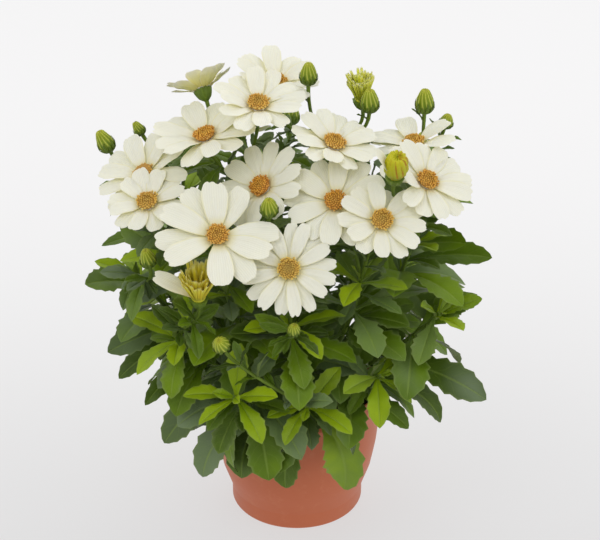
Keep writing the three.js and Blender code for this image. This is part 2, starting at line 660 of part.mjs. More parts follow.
// The settings tried in turn for one petal: its natural place, then lifted, lowered or drawn in.
function petalSettings(bloom, i) {
  const part = bloom.n * DRAWS_EACH + i;
  const axes = flowerAxes(bloom.faces);
  const radial = acrossFlower(axes, petalAngle(bloom, i) + vary(part, 1, 2.5) * DEGREE);
  const bend = PETAL_BEND + vary(part, 3, 9);
  const layer = petalLayer(bloom, i);
  return PETAL_TRIES.map(([lift, scale]) => ({
    root: vector(bloom.at).addScaledVector(radial, HUB_RADIUS).addScaledVector(axes.out, layer * LAYER_STEP),
    ...risingFrom(axes, radial, (bloom.rise + layer * LAYER_TILT + lift + bend / 2) * DEGREE),
    length: (bloom.radius - HUB_RADIUS) * (1 + vary(part, 2, 0.06)) * scale,
    wide: bloom.wide * (1 + vary(part, 4, 0.08)),
    thick: PETAL_THICKNESS,
    bend,
    fold: layer > 0 ? UPPER_FOLD : LOWER_FOLD,
    roll: vary(part, 6, 6),
    shape: PETAL_SHAPE,
  }));
}

// The settings for one strap of an opening or closing bloom. Every second strap stands further in.
function strapSettings(brush, i) {
  const part = STRAP_DRAWS + brush.n * DRAWS_EACH + i;
  const axes = flowerAxes(brush.faces);
  const radial = acrossFlower(axes, 2 * Math.PI * i / brush.straps);
  const flare = (i % 2 ? INNER_FLARE : 1) * brush.flare;
  return STRAP_TRIES.map((lean) => ({
    root: vector(brush.at).addScaledVector(radial, BRUSH_HUB_RADIUS),
    ...risingFrom(axes, radial, (90 - flare + lean) * DEGREE),
    length: brush.tall * (1 + vary(part, 2, 0.1)),
    wide: brush.wide,
    thick: PETAL_THICKNESS,
    bend: STRAP_BEND,
    fold: STRAP_FOLD,
    roll: 0,
    shape: STRAP_SHAPE,
  }));
}

// One body of a flat hub with blades round it. The hub's edge runs through each blade's four root
// points, and a place with no blade is closed.
function whorl({ at, faces }, hubRadius, angles, blades, step) {
  const axes = flowerAxes(faces);
  const draft = new MeshDraft();
  const count = angles.length;
  const spot = (angle, height) => draft.put(vector(at)
    .addScaledVector(acrossFlower(axes, angle), hubRadius).addScaledVector(axes.out, height));
  const topMiddle = draft.put(vector(at).addScaledVector(axes.out, HUB_HALF));
  const underMiddle = draft.put(vector(at).addScaledVector(axes.out, -HUB_HALF));
  const valleys = angles.map((angle, i) => {
    const before = i === 0 ? angles[count - 1] - 2 * Math.PI : angles[i - 1];
    return spot((angle + before) / 2, 0);
  });
  angles.forEach((angle, i) => {
    const lift = step(i);
    const topRoot = spot(angle, lift + HUB_HALF);
    const underRoot = spot(angle, lift - HUB_HALF);
    const rightRoot = valleys[i];
    const leftRoot = valleys[(i + 1) % count];
    draft.facet(topMiddle, rightRoot, topRoot);
    draft.facet(topMiddle, topRoot, leftRoot);
    draft.facet(underMiddle, underRoot, rightRoot);
    draft.facet(underMiddle, leftRoot, underRoot);
    if (blades[i]) {
      growBlade(draft, blades[i], { topRoot, underRoot, rightRoot, leftRoot });
    } else {
      draft.facet(topRoot, rightRoot, underRoot);
      draft.facet(topRoot, underRoot, leftRoot);
    }
  });
  return draft.solid();
}

function bloomRing(bloom, petals) {
  const angles = placesOf(bloom.petals).map((i) => petalAngle(bloom, i));
  return whorl(bloom, HUB_RADIUS, angles, petals, (i) => petalLayer(bloom, i) * LAYER_STEP);
}

function brushRing(brush, straps) {
  const angles = placesOf(brush.straps).map((i) => 2 * Math.PI * i / brush.straps);
  return whorl(brush, BRUSH_HUB_RADIUS, angles, straps, () => 0);
}

const nodeOf = (flower, kind, part) => `${kind}_${String(flower.n).padStart(2, '0')}_${part}`;

// All hubs and discs are set before any petal, so that petals keep clear of them.
for (const bloom of BLOOMS) {
  const florets = disc(bloom);
  take(nodeOf(bloom, 'bloom', 'petals'), bloomRing(bloom, []));
  take(nodeOf(bloom, 'bloom', 'disc'), florets);
  addNode(nodeOf(bloom, 'bloom', 'disc'), florets, DISC_ORANGE);
}
for (const brush of BRUSHES) take(nodeOf(brush, 'brush', 'petals'), brushRing(brush, []));
for (const bloom of BLOOMS) {
  const node = nodeOf(bloom, 'bloom', 'petals');
  const petals = placesOf(bloom.petals).map((i) => (
    bloom.fallen?.includes(i) ? null : clearBlade(node, petalSettings(bloom, i))
  ));
  addNode(node, bloomRing(bloom, petals), PETAL_CREAM);
}
for (const brush of BRUSHES) {
  const node = nodeOf(brush, 'brush', 'petals');
  const straps = placesOf(brush.straps).map((i) => clearBlade(node, strapSettings(brush, i)));
  addNode(node, brushRing(brush, straps), STRAP_YELLOW);
}

// The pot and the soil are taken before the leaves, which hang clear of them.
const potSolid = pot();
const soilSolid = soil();
take('pot', potSolid);
take('soil', soilSolid);
addNode('pot', potSolid, POT_PLASTIC);
addNode('soil', soilSolid, SOIL_BROWN);

// The level of a leaf's root: the level of a leaf that is already near, or its own.
function levelOn(shoot, z) {
  const near = growth.get(shoot.name).levels.find((level) => Math.abs(level.z - z) < SAME_LEVEL);
  return near ? near.z : z;
}

// Where a leaf that looks toward a direction leaves its shoot: its root, and the side of the stem there.
function rootOn(shoot, z, toward) {
  const tangent = shootTangent(shoot, z);
  const { across, aside } = crossAxes(tangent);
  const radial = toward.clone().addScaledVector(tangent, -toward.dot(tangent)).normalize();
  const angle = Math.atan2(radial.dot(aside), radial.dot(across));
  const side = Math.round((angle - STEM_TURN) / (2 * Math.PI / STEM_SIDES) + 2 * STEM_SIDES) % STEM_SIDES;
  const root = shootPoint(shoot, z).addScaledVector(radial, LEAF_ROOT_OFFSET);
  return { tangent, radial, side, root };
}

// A leaf grows from the first of its settings that is clear and finds its side of the stem free.
function addLeaf(shoot, z, settings) {
  const { levels } = growth.get(shoot.name);
  const level = levels.find((other) => other.z === z) ?? { z, sides: new Map() };
  const free = settings.filter((setting) => !level.sides.has(setting.side));
  const leaf = clearBlade(stemNode(shoot.name), free);
  if (!leaf) return;
  level.sides.set(leaf.side, leaf);
  if (!levels.includes(level)) levels.push(level);
}

// The settings of a leaf from its root on a shoot to a given tip, tried there and then with the tip moved.
function outerLeafSettings(shoot, z, leaf) {
  return TIP_NUDGES.map((nudge) => {
    const tip = vector(leaf.tip).add(vector(nudge));
    const { root, side } = rootOn(shoot, z, tip.clone().sub(shootPoint(shoot, z)));
    const chord = tip.sub(root);
    const half = leaf.bend * DEGREE / 2;
    const sideways = new THREE.Vector3(0, 0, 1).cross(chord).normalize();
    const along = chord.clone().normalize().applyAxisAngle(sideways, -half);
    return {
      side,
      root,
      along,
      up: along.clone().cross(sideways),
      length: chord.length() * half / Math.sin(half),
      wide: leaf.wide,
      thick: LEAF_THICKNESS,
      bend: leaf.bend,
      fold: OUTER_LEAF_FOLD,
      roll: leaf.roll,
      shape: LARGE_LEAF,
    };
  });
}

function inGap(blade) {
  const tip = bladeSpot(blade, 1, 0, 0);
  return FOLIAGE_GAPS.some(({ low, high }) => new THREE.Box3(vector(low), vector(high)).containsPoint(tip));
}

// One leaf of a tier or a tuft, in the settings that are tried in turn. Its face looks up.
function leafSettings(shoot, z, { turn, rise, length, wide, bend, fold, roll, shape }) {
  return LEAF_TRIES.map(([aside, lift, scale]) => {
    const { tangent, radial, side, root } = rootOn(shoot, z, direction(turn + aside, 0));
    const height = (rise + lift) * DEGREE;
    const along = radial.multiplyScalar(Math.cos(height)).addScaledVector(tangent, Math.sin(height));
    const sideways = direction(turn + aside + 90, 0);
    sideways.addScaledVector(along, -sideways.dot(along)).normalize();
    return {
      side,
      root,
      along,
      up: along.clone().cross(sideways),
      length: length * scale,
      wide: wide * scale,
      thick: LEAF_THICKNESS,
      bend,
      fold,
      roll,
      shape,
    };
  }).filter((blade) => !inGap(blade));
}

const outwardTurn = (shoot) => Math.atan2(shoot.top[0], -shoot.top[1]) / DEGREE;

// A leaf of a tier. Every second tier is twisted a little about the shoot.
function addTierLeaf(shoot, number, tier, k) {
  const part = TIER_DRAWS + number * DRAWS_EACH + tier * shoot.leaves + k;
  const lowest = Math.max(LOWEST_LEAF, shoot.top[2] - LEAFY_LENGTH);
  const climb = (tier + 0.4 * chance(part - k, 1)) / shoot.tiers;
  const z = levelOn(shoot, blend(lowest, shoot.top[2] - TIER_BELOW_TOP, climb));
  const height = clamp((z - LOWEST_LEAF) / (HIGHEST_LEAF - LOWEST_LEAF));
  const length = blend(LOW_TIER.length, HIGH_TIER.length, height) * (1 + vary(part, 2, 0.14));
  const apart = blend(LOW_TIER.apart, HIGH_TIER.apart, climb);
  const twist = TIER_TWIST * (tier % 2 - 0.5);
  addLeaf(shoot, z, leafSettings(shoot, z, {
    turn: outwardTurn(shoot) + (k - (shoot.leaves - 1) / 2) * apart + twist + vary(part, 3, 10),
    rise: blend(LOW_TIER.rise, HIGH_TIER.rise, height) + vary(part, 4, 12),
    length,
    wide: length * TIER_LEAF_WIDTH,
    bend: blend(LOW_TIER.bend, HIGH_TIER.bend, height) + vary(part, 5, 14),
    fold: 0.12 + 0.16 * chance(part, 6),
    roll: vary(part, 7, 24),
    shape: TOOTHED_LEAF,
  }));
}

// One of the young leaves that stand round the tip of a shoot.
function addTuftLeaf(shoot, number, i) {
  const part = TUFT_DRAWS + number * DRAWS_EACH + i;
  const z = shoot.top[2] - TUFT_BELOW_TOP;
  const length = YOUNG.length * (1 + vary(part, 2, 0.18));
  addLeaf(shoot, z, leafSettings(shoot, z, {
    turn: TUFT_TURN * number + 360 * i / shoot.tuft + vary(part, 3, 10),
    rise: YOUNG.rise + vary(part, 4, 12),
    length,
    wide: length * YOUNG.width,
    bend: YOUNG.bend + vary(part, 5, 14),
    fold: YOUNG.fold,
    roll: vary(part, 7, 15),
    shape: YOUNG_LEAF,
  }));
}

// The angle of a corner of a stem's rings.
function ringAngle(k) {
  return STEM_TURN + 2 * Math.PI * (k - 0.5) / STEM_SIDES;
}

// The rows of a stem's rings: its foot, the top of the soil, two for each level of leaves, and its tip.
function stemRows(shoot, levels) {
  const top = shoot.top[2];
  const bare = (levels[0]?.z ?? top) - FAN_START_Z;
  const steps = Math.ceil(bare / LONGEST_STEM_STEP);
  const rows = [{ z: STEM_FOOT_Z }];
  placesOf(steps).forEach((step) => rows.push({ z: FAN_START_Z + bare * step / steps }));
  levels.forEach(({ z, sides }) => rows.push({ z: z - LEAF_ROOT_HALF, sides }, { z: z + LEAF_ROOT_HALF }));
  rows.push({ z: top });
  return rows;
}

// The body of a shoot: a stem of rings, with each leaf grown from a side of it.
function shootBody(shoot) {
  const draft = new MeshDraft();
  const levels = [...growth.get(shoot.name).levels].sort((a, b) => a.z - b.z);
  const rows = stemRows(shoot, levels);
  const rings = rows.map(({ z }) => {
    const { across, aside } = crossAxes(shootTangent(shoot, z));
    const radius = stemRadius(shoot, z);
    return placesOf(STEM_SIDES).map((k) => draft.put(shootPoint(shoot, z)
      .addScaledVector(aside, Math.sin(ringAngle(k)) * radius)
      .addScaledVector(across, Math.cos(ringAngle(k)) * radius)));
  });
  for (let row = 0; row < rows.length - 1; row += 1) {
    const [low, high] = [rings[row], rings[row + 1]];
    for (let k = 0; k < STEM_SIDES; k += 1) {
      const next = (k + 1) % STEM_SIDES;
      const leaf = rows[row].sides?.get(k);
      if (leaf) {
        const roots = { topRoot: high[k], rightRoot: low[k], underRoot: low[next], leftRoot: high[next] };
        growBlade(draft, leaf, roots);
      } else {
        draft.facet(low[k], low[next], high[next]);
        draft.facet(low[k], high[next], high[k]);
      }
    }
  }
  const [foot, tip] = [rings[0], rings[rings.length - 1]];
  for (let k = 1; k < STEM_SIDES - 1; k += 1) {
    draft.facet(foot[0], foot[k + 1], foot[k]);
    draft.facet(tip[0], tip[k], tip[k + 1]);
  }
  return draft.solid();
}

// The outer leaves grow first, then the tufts, then the tiers from the top down.
for (const leaf of OUTER_LEAVES) {
  const shoot = shootNamed(leaf.shoot);
  const z = levelOn(shoot, leaf.root);
  addLeaf(shoot, z, outerLeafSettings(shoot, z, leaf));
}
SHOOTS.forEach((shoot, number) => {
  placesOf(shoot.tuft).forEach((i) => addTuftLeaf(shoot, number, i));
  placesOf(shoot.tiers).reverse().forEach((tier) => {
    placesOf(shoot.leaves).forEach((k) => addTierLeaf(shoot, number, tier, k));
  });
});
for (const shoot of SHOOTS) {
  const parts = [shootBody(shoot), ...growth.get(shoot.name).stalks];
  addNode(stemNode(shoot.name), wasm.Manifold.union(parts), LEAF_GREEN);
}

export default plant;
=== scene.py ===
"""A potted African daisy, dressed for the camera.

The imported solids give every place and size. This script puts finer pieces on them: petals with their
grooves, discs of florets, toothed and veined leaves, pleated cups and buds, and a turned pot. A blade
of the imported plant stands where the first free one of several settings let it, so each fine blade takes
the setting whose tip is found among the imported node's points.
"""

import logging
import math
from collections.abc import Callable, Iterable, Sequence
from dataclasses import dataclass, field, replace
from enum import Enum
from functools import cached_property
from typing import Any, ClassVar

import bmesh
import bpy
import numpy as np
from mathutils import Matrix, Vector
from mathutils.bvhtree import BVHTree
from mathutils.kdtree import KDTree


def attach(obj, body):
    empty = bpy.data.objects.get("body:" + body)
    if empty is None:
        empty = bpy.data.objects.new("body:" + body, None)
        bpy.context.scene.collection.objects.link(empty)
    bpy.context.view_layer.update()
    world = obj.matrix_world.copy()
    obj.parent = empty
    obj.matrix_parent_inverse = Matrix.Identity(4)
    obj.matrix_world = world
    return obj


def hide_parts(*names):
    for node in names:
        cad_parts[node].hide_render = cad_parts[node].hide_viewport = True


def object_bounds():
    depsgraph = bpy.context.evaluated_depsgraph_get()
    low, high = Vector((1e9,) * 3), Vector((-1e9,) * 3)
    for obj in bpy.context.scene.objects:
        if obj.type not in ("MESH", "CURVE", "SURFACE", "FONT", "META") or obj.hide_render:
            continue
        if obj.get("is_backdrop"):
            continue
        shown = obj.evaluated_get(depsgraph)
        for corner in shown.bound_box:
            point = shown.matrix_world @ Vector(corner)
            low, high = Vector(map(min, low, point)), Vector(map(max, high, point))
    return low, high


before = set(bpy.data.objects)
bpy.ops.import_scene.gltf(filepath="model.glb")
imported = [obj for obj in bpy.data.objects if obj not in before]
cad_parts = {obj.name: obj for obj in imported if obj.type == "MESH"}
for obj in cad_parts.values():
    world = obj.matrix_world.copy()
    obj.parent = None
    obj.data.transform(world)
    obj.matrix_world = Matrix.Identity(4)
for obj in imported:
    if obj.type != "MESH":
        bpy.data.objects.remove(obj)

log = logging.getLogger("daisy")

Array = np.ndarray
Pair = tuple[float, float]
Triple = tuple[float, float, float]
Material, Mesh, Piece, Socket = bpy.types.Material, bpy.types.Mesh, bpy.types.Object, bpy.types.NodeSocket

MM = 0.001
BODY = "root"

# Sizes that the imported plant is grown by, in millimetres and degrees
STEM_FOOT_Z = 74
STEM_FOOT_RADIUS = 2.1
STEM_TOP_RADIUS = 1.5
STEM_SIDES = 5
STEM_TURN = math.pi / 2
FAN_START_Z = 97
FULL_SPREAD_Z = 270
FOOT_SPREAD = 0.14
STALK_RADIUS = 1.15
STALK_REACH = 0.38
STALK_SIDES = 8
FORK_DROP = 6
CUP_LENGTH = 9.4
HUB_RADIUS = 5.6
HUB_SIDES = 24
BRUSH_HUB_RADIUS = 4.2
PETAL_BEND = 20
LAYER_STEP = 0.3
LAYER_TILT = 3
UPPER_FOLD = 0.14
LOWER_FOLD = -0.03
FOLD_SOFTNESS = 0.6
STRAP_BEND = 8
STRAP_FOLD = 0.1
INNER_FLARE = 0.3
LEAF_ROOT_OFFSET = 1.2
OUTER_LEAF_FOLD = 0.22
SAME_LEVEL = 6
LOWEST_LEAF = 108
HIGHEST_LEAF = 218
LEAFY_LENGTH = 84
TIER_BELOW_TOP = 9
TUFT_BELOW_TOP = 3
TIER_TWIST = 26
TIER_LEAF_WIDTH = 0.45
TUFT_TURN = 50
TUFT_LEAF_WIDTH = 0.42
TUFT_FOLD = 0.25
STRAP_DRAWS = 700
TIER_DRAWS = 1000
TUFT_DRAWS = 2000
DRAWS_EACH = 31
TIP_TOLERANCE = 0.05

# Where further leaves grow, and what they keep off
SHADE_DRAWS = 9000
STALK_DRAWS = 20000
HEART_DRAWS = 40000
STALK_LEAF_OFFSET = 0.6
POT_REACH = 68
POT_TOP = 108
CROWN_TOP = 308
CROWN_FALL = 0.002
FAR_SIDE_Y = 60
GOLDEN_ANGLE = 137.508

PETAL_TRIES = (
    (0, 1), (7, 1), (-7, 1), (14, 1), (-14, 1), (21, 0.95), (-22, 0.95), (30, 0.9), (-32, 0.9), (42, 0.85),
    (54, 0.8),
)
STRAP_TRIES = (0, -8, 8, -14)
LEAF_TRIES = (
    (0, 0, 1), (22, 0, 1), (-22, 0, 1), (0, 16, 1), (0, -16, 0.95), (44, 8, 0.95), (-44, 8, 0.95),
    (20, 28, 0.88), (-20, 28, 0.88), (72, 12, 0.85), (-72, 12, 0.85), (0, 40, 0.8), (110, 20, 0.7),
    (-110, 20, 0.7), (0, 10, 0.6), (40, 30, 0.6), (-40, 30, 0.6),
)
TIP_NUDGES = (
    (0, 0, 0), (0, 0, 6), (0, 0, -6), (6, 0, 0), (-6, 0, 0), (0, -7, 0), (0, 0, 12), (0, -7, 8),
    (8, -6, 0), (-8, -6, 0), (0, -12, -4), (12, 0, 6), (-12, 0, 6), (0, -16, 0),
)

# Gaps in the foliage: the low and high corners of boxes that no further leaf reaches into
FOLIAGE_GAPS = np.array((
    ((30, -104, 0), (112, -10, 98)), ((84, -96, 98), (160, 12, 152)), ((96, -96, 120), (160, 40, 178)),
    ((-160, -60, 112), (-133, 30, 206)), ((-160, -60, 165), (-118, 40, 196)),
), float)


def chance(part: int, draw: int) -> float:
    """Return the repeatable number from 0 to 1 of one part of the plant."""
    value = math.sin(part * 12.9898 + draw * 78.233) * 43758.5453
    return value - math.floor(value)


def vary(part: int, draw: int, reach: float) -> float:
    """Return a repeatable number from minus reach to reach."""
    return (2 * chance(part, draw) - 1) * reach


def blend(low: float, high: float, share: float) -> float:
    """Return the number at a share of the way from low to high."""
    return low + (high - low) * share


def clamp(value: float) -> float:
    """Return a number held between 0 and 1."""
    return min(max(value, 0.0), 1.0)


def unit(vector: Array) -> Array:
    """Return a vector at length one."""
    return vector / np.linalg.norm(vector)


def squared(vector: Array, against: Array) -> Array:
    """Return the direction of a vector's part at right angles to another direction."""
    return unit(vector - against * vector.dot(against))


def direction(turn: float, height: float) -> Array:
    """Return the direction at a turn from the front and a height above level, in degrees."""
    turn, height = math.radians(turn), math.radians(height)
    return np.array((math.sin(turn) * math.cos(height), -math.cos(turn) * math.cos(height), math.sin(height)))


def ring_angles(sides: int) -> Array:
    """Return the angles of the points of a ring."""
    return math.tau * np.arange(sides) / sides


@dataclass(frozen=True)
class Axes:
    """A flower's own axes: right and up across it from its front, and out along its face."""

    right: Array
    up: Array
    out: Array

    @classmethod
    def facing(cls, faces: Pair) -> "Axes":
        """Return the axes of a flower that faces a turn and a height."""
        out = direction(*faces)
        turn = math.radians(faces[0])
        right = np.array((math.cos(turn), math.sin(turn), 0.0))
        return cls(right, np.cross(out, right), out)

    def across(self, angle: float) -> Array:
        """Return the direction across the flower at an angle from its right."""
        return self.right * math.cos(angle) + self.up * math.sin(angle)

    def rising(self, radial: Array, rise: float) -> tuple[Array, Array]:
        """Return the first direction of a blade that rises from the flower, and the way its face looks."""
        c, s = math.cos(math.radians(rise)), math.sin(math.radians(rise))
        return radial * c + self.out * s, self.out * c - radial * s

    def about(self, at: Array, spans: Array, turns: Array, heights: Array) -> Array:
        """Return places about the axis.

        Args:
            at: The foot of the axis.
            spans: Distances from the axis.
            turns: Angles from the right.
            heights: Heights along the axis.

        Returns:
            Points, with one more axis than turns.
        """
        right, up = (spans * np.cos(turns))[..., None], (spans * np.sin(turns))[..., None]
        return at + right * self.right + up * self.up + heights[..., None] * self.out


UPRIGHT = Axes(*np.eye(3))
ORIGIN = np.zeros(3)


@dataclass(frozen=True)
class Shoot:
    """One leafy shoot: its name, where its leafy part ends and how many leaves it has."""

    name: str
    top: Triple
    tiers: int
    leaves: int
    tuft: int

    @staticmethod
    def spread(z: float) -> float:
        """Return how far out a shoot has spread at a height, as a share of its full spread."""
        climb = clamp((z - FAN_START_Z) / (FULL_SPREAD_Z - FAN_START_Z))
        return blend(FOOT_SPREAD, 1, math.sin(climb * math.pi / 2))

    def point(self, z: float) -> Array:
        """Return the middle of the shoot at a height."""
        share = self.spread(z) / self.spread(self.top[2])
        return np.array((self.top[0] * share, self.top[1] * share, z))

    def tangent(self, z: float) -> Array:
        """Return the direction in which the shoot grows at a height."""
        if z <= FAN_START_Z:
            return np.array((0.0, 0.0, 1.0))
        return unit(self.point(z + 0.5) - self.point(z - 0.5))

    def radius(self, z: float) -> float:
        """Return the radius of the stem at a height."""
        return blend(STEM_FOOT_RADIUS, STEM_TOP_RADIUS, (z - STEM_FOOT_Z) / (self.top[2] - STEM_FOOT_Z))


SHOOTS = (
    Shoot("left_upper", (-84, -42, 232), 3, 3, 3),
    Shoot("front_left", (-48, -78, 222), 3, 3, 3),
    Shoot("front", (-4, -96, 206), 3, 3, 4),
    Shoot("front_right", (44, -76, 230), 3, 3, 4),
    Shoot("right_upper", (80, -40, 240), 3, 3, 4),
    Shoot("middle", (16, -34, 256), 1, 3, 2),
    Shoot("middle_left", (-38, -14, 262), 1, 3, 2),
    Shoot("crown", (18, 16, 272), 1, 3, 2),
    Shoot("right_back", (86, 10, 262), 3, 3, 4),
    Shoot("low_star", (-43, -112, 158), 2, 3, 5),
    Shoot("low_left_front", (-82, -82, 188), 3, 3, 5),
    Shoot("low_left", (-112, -22, 200), 3, 3, 4),
    Shoot("low_right", (100, -56, 192), 3, 3, 4),
    Shoot("low_right_front", (58, -88, 160), 2, 3, 5),
    Shoot("low_front", (8, -106, 146), 2, 3, 4),
    Shoot("left_back", (-84, 56, 226), 3, 3, 3),
    Shoot("back", (-14, 84, 236), 3, 3, 3),
    Shoot("back_right", (64, 72, 222), 3, 3, 3),
    Shoot("low_side_left", (-98, 26, 162), 2, 3, 4),
    Shoot("low_back_left", (-52, 92, 160), 2, 3, 4),
    Shoot("low_back", (26, 104, 164), 2, 3, 4),
    Shoot("low_side_right", (96, 40, 166), 2, 3, 4),
)


@dataclass(frozen=True)
class Flower:
    """What a stalk ends in: its shoot, its place, the turn and height that it faces, and its number.

    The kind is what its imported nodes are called, and cup is how far the stalk ends below its place.
    """

    kind: ClassVar[str] = "flower"
    cup: ClassVar[float] = CUP_LENGTH

    shoot: str
    at: Triple
    faces: Pair
    number: int = field(default=0, kw_only=True)

    @property
    def name(self) -> str:
        """Return the flower's name."""
        return f"{self.kind}_{self.number:02d}"

    @cached_property
    def axes(self) -> Axes:
        """Return the flower's own axes."""
        return Axes.facing(self.faces)

    @cached_property
    def place(self) -> Array:
        """Return the flower's place."""
        return np.array(self.at, float)

    @property
    def stalk_end(self) -> Array:
        """Return where the flower's stalk ends."""
        return self.place - self.axes.out * self.cup


@dataclass(frozen=True)
class Bloom(Flower):
    """One open bloom: its radius and petals, how ripe its disc is, and which petals fell."""

    kind: ClassVar[str] = "bloom"

    radius: float
    petals: int
    wide: float
    rise: float
    ripe: float = 0.5
    fallen: tuple[int, ...] = ()


@dataclass(frozen=True)
class Brush(Flower):
    """One opening or closing bloom: its straps, and what else it holds.

    The warmth is the shade of its yellow, body is the radius of petals that are still rolled up, and rays
    are open petals, each an angle round the flower, a rise, a length and a width.
    """

    kind: ClassVar[str] = "brush"

    straps: int
    tall: float
    flare: float
    wide: float
    warmth: float = 0.2
    body: float = 0.0
    rays: tuple[tuple[float, float, float, float], ...] = ()


@dataclass(frozen=True)
class Bud(Flower):
    """One closed bud: its width and length. Its place is the middle of its foot."""

    kind: ClassVar[str] = "bud"
    cup: ClassVar[float] = 0.0

    wide: float
    long: float


def numbered(*flowers: Any) -> tuple[Any, ...]:
    """Return the flowers with their numbers, from one up."""
    return tuple(replace(flower, number=i) for i, flower in enumerate(flowers, 1))


BLOOMS = numbered(
    Bloom("front_left", (-52, -100, 276), (0, 56), 41, 12, 15.5, 6, 0.6, (8,)),
    Bloom("front", (-5, -112, 258), (0, 41), 32.5, 17, 9, 4, 0.1),
    Bloom("front_right", (56, -90, 282), (15, 52), 29.5, 13, 11, 8, 0.3),
    Bloom("front_right", (26, -76, 289), (-10, 55), 36, 12, 13.5, 5, 0.85),
    Bloom("middle", (-23, -56, 290), (-45, 46), 34, 11, 12, 12, 1.0),
    Bloom("right_upper", (87, -60, 296), (40, 57), 33, 13, 12.5, 8, 0.7),
    Bloom("middle", (25, -44, 316), (45, 71), 31, 12, 12.5, 14),
    Bloom("left_upper", (-100, -64, 282), (-23, 65), 28, 12, 11, 6, 0.3),
    Bloom("left_upper", (-104, -38, 291), (-55, 60), 35, 12, 13, 14),
    Bloom("middle_left", (-62, -28, 314), (-57, 72), 37, 12, 14, 9, 0.8),
    Bloom("middle_left", (-26, -22, 335), (3, 73), 33, 12, 12.5, 14, 0.4),
    Bloom("crown", (-15, 14, 336), (49, 78), 33, 10, 13, 20),
    Bloom("right_back", (81, -16, 303), (-93, 84), 31, 10, 13, 12),
    Bloom("left_back", (-66, 18, 330), (-149, 48), 25, 10, 11.5, 26),
    Bloom("back", (-44, 84, 266), (200, 50), 33, 11, 13, 8),
    Bloom("back_right", (48, 78, 262), (155, 56), 34, 11, 13, 8),
)

BRUSHES = numbered(
    Brush("crown", (45, 2, 330), (-40, 80), 12, 19, 16, 4.2, 0.1),
    Brush("low_left_front", (-65, -112, 237), (0, 76), 13, 25, 21, 4, 0.85, rays=((168, 26, 31, 13),)),
    Brush("right_upper", (65, -77, 310), (10, 68), 7, 18, 9, 3.6, 0.5, 7.9, ((172, 62, 25, 11),)),
)

BUDS = numbered(
    Bud("crown", (8, 0, 341), (10, 84), 12, 17),
    Bud("crown", (50, -10, 325), (0, 82), 13, 18),
    Bud("right_back", (89, 8, 316), (0, 84), 13, 19),
    Bud("right_back", (104, 14, 302), (60, 76), 10, 11),
    Bud("left_upper", (-130, -4, 292), (-80, 66), 12, 18),
    Bud("left_back", (-108, 6, 300), (-100, 60), 8, 11),
    Bud("low_left", (-99, -84, 245), (-30, 74), 11, 15),
    Bud("front_left", (-18, -88, 286), (0, 70), 12, 15),
    Bud("low_front", (-49, -126, 206), (-20, 56), 12, 12),
    Bud("front", (-2, -124, 216), (10, 66), 9, 10),
    Bud("back", (-4, 100, 264), (180, 70), 12, 17),
    Bud("back_right", (88, 60, 260), (130, 66), 11, 16),
)

# How much lower the florets stand of the discs that a neighbour's petal lies on, by the bloom's number
PRESSED_DISCS = {9: 1.6}

# Small leaves on the buds' stalks: the bud, the step of its stalk, turn, rise, length and width
BRACTS = (
    (4, 11, -75, 52, 19, 9), (4, 11, 70, 34, 15, 5), (4, 8, 40, 50, 18, 6), (4, 6, 80, 40, 14, 6),
    (3, 12, -95, 55, 12, 4), (2, 12, -90, 30, 9, 4), (1, 11, -80, 40, 9, 3), (5, 11, 60, 45, 12, 4),
    (7, 9, 30, 40, 13, 5), (8, 10, 60, 35, 12, 4),
)


@dataclass(frozen=True)
class OuterLeaf:
    """A leaf of the plant's outline: its shoot, its root's height, its tip, width, bend, roll and tone."""

    shoot: str
    root: float
    tip: Triple
    wide: float
    bend: float
    roll: float
    tone: float


OUTER_LEAVES = (
    OuterLeaf("right_back", 222, (106, -22, 262), 19, 20, -70, 0.35),
    OuterLeaf("right_back", 205, (119, -30, 233), 24, 30, -45, 0.42),
    OuterLeaf("right_back", 196, (139, -18, 215), 23, 30, -40, 0.3),
    OuterLeaf("low_right", 186, (130, -50, 206), 15, 25, -30, 0.6),
    OuterLeaf("low_right", 177, (122, -30, 187), 20, 30, -30, 0.4),
    OuterLeaf("low_right", 168, (117, -40, 140), 14, 60, 40, 0.1),
    OuterLeaf("low_right", 142, (135, -66, 126), 27, 34, -52, 0.08),
    OuterLeaf("low_right_front", 134, (104, -56, 100), 22, 92, -38, 0.12),
    OuterLeaf("low_right_front", 128, (80, -70, 104), 19, 40, -25, 0.28),
    OuterLeaf("low_right_front", 148, (66, -88, 172), 15, 20, -20, 0.8),
    OuterLeaf("low_front", 132, (40, -86, 92), 22, 80, -15, 0.12),
    OuterLeaf("low_front", 122, (34, -80, 58), 31, 75, -105, 0.64),
    OuterLeaf("low_front", 116, (-8, -84, 62), 25, 75, 5, 0.2),
    OuterLeaf("low_star", 126, (-25, -86, 76), 22, 80, 10, 0.2),
    OuterLeaf("low_star", 134, (-42, -86, 78), 23, 85, 0, 0.45),
    OuterLeaf("low_star", 120, (-68, -76, 66), 27, 70, 48, 0.12),
    OuterLeaf("low_left_front", 130, (-96, -62, 86), 27, 40, 50, 0.1),
    OuterLeaf("low_left_front", 120, (-80, -66, 86), 22, 70, 35, 0.14),
    OuterLeaf("low_left", 150, (-129, -38, 126), 19, 45, 35, 0.1),
    OuterLeaf("low_left", 136, (-109, -58, 116), 16, 50, 40, 0.1),
    OuterLeaf("low_left", 161, (-135, -47, 154), 24, 20, 45, 0.1),
    OuterLeaf("low_left", 196, (-147, -44, 219), 22, 24, 45, 0.4),
    OuterLeaf("left_upper", 205, (-122, -55, 202), 18, 40, 30, 0.15),
    OuterLeaf("left_back", 200, (-141, 5, 212), 16, 30, 10, 0.3),
    OuterLeaf("left_upper", 215, (-125, -12, 240), 24, 25, 55, 0.4),
)


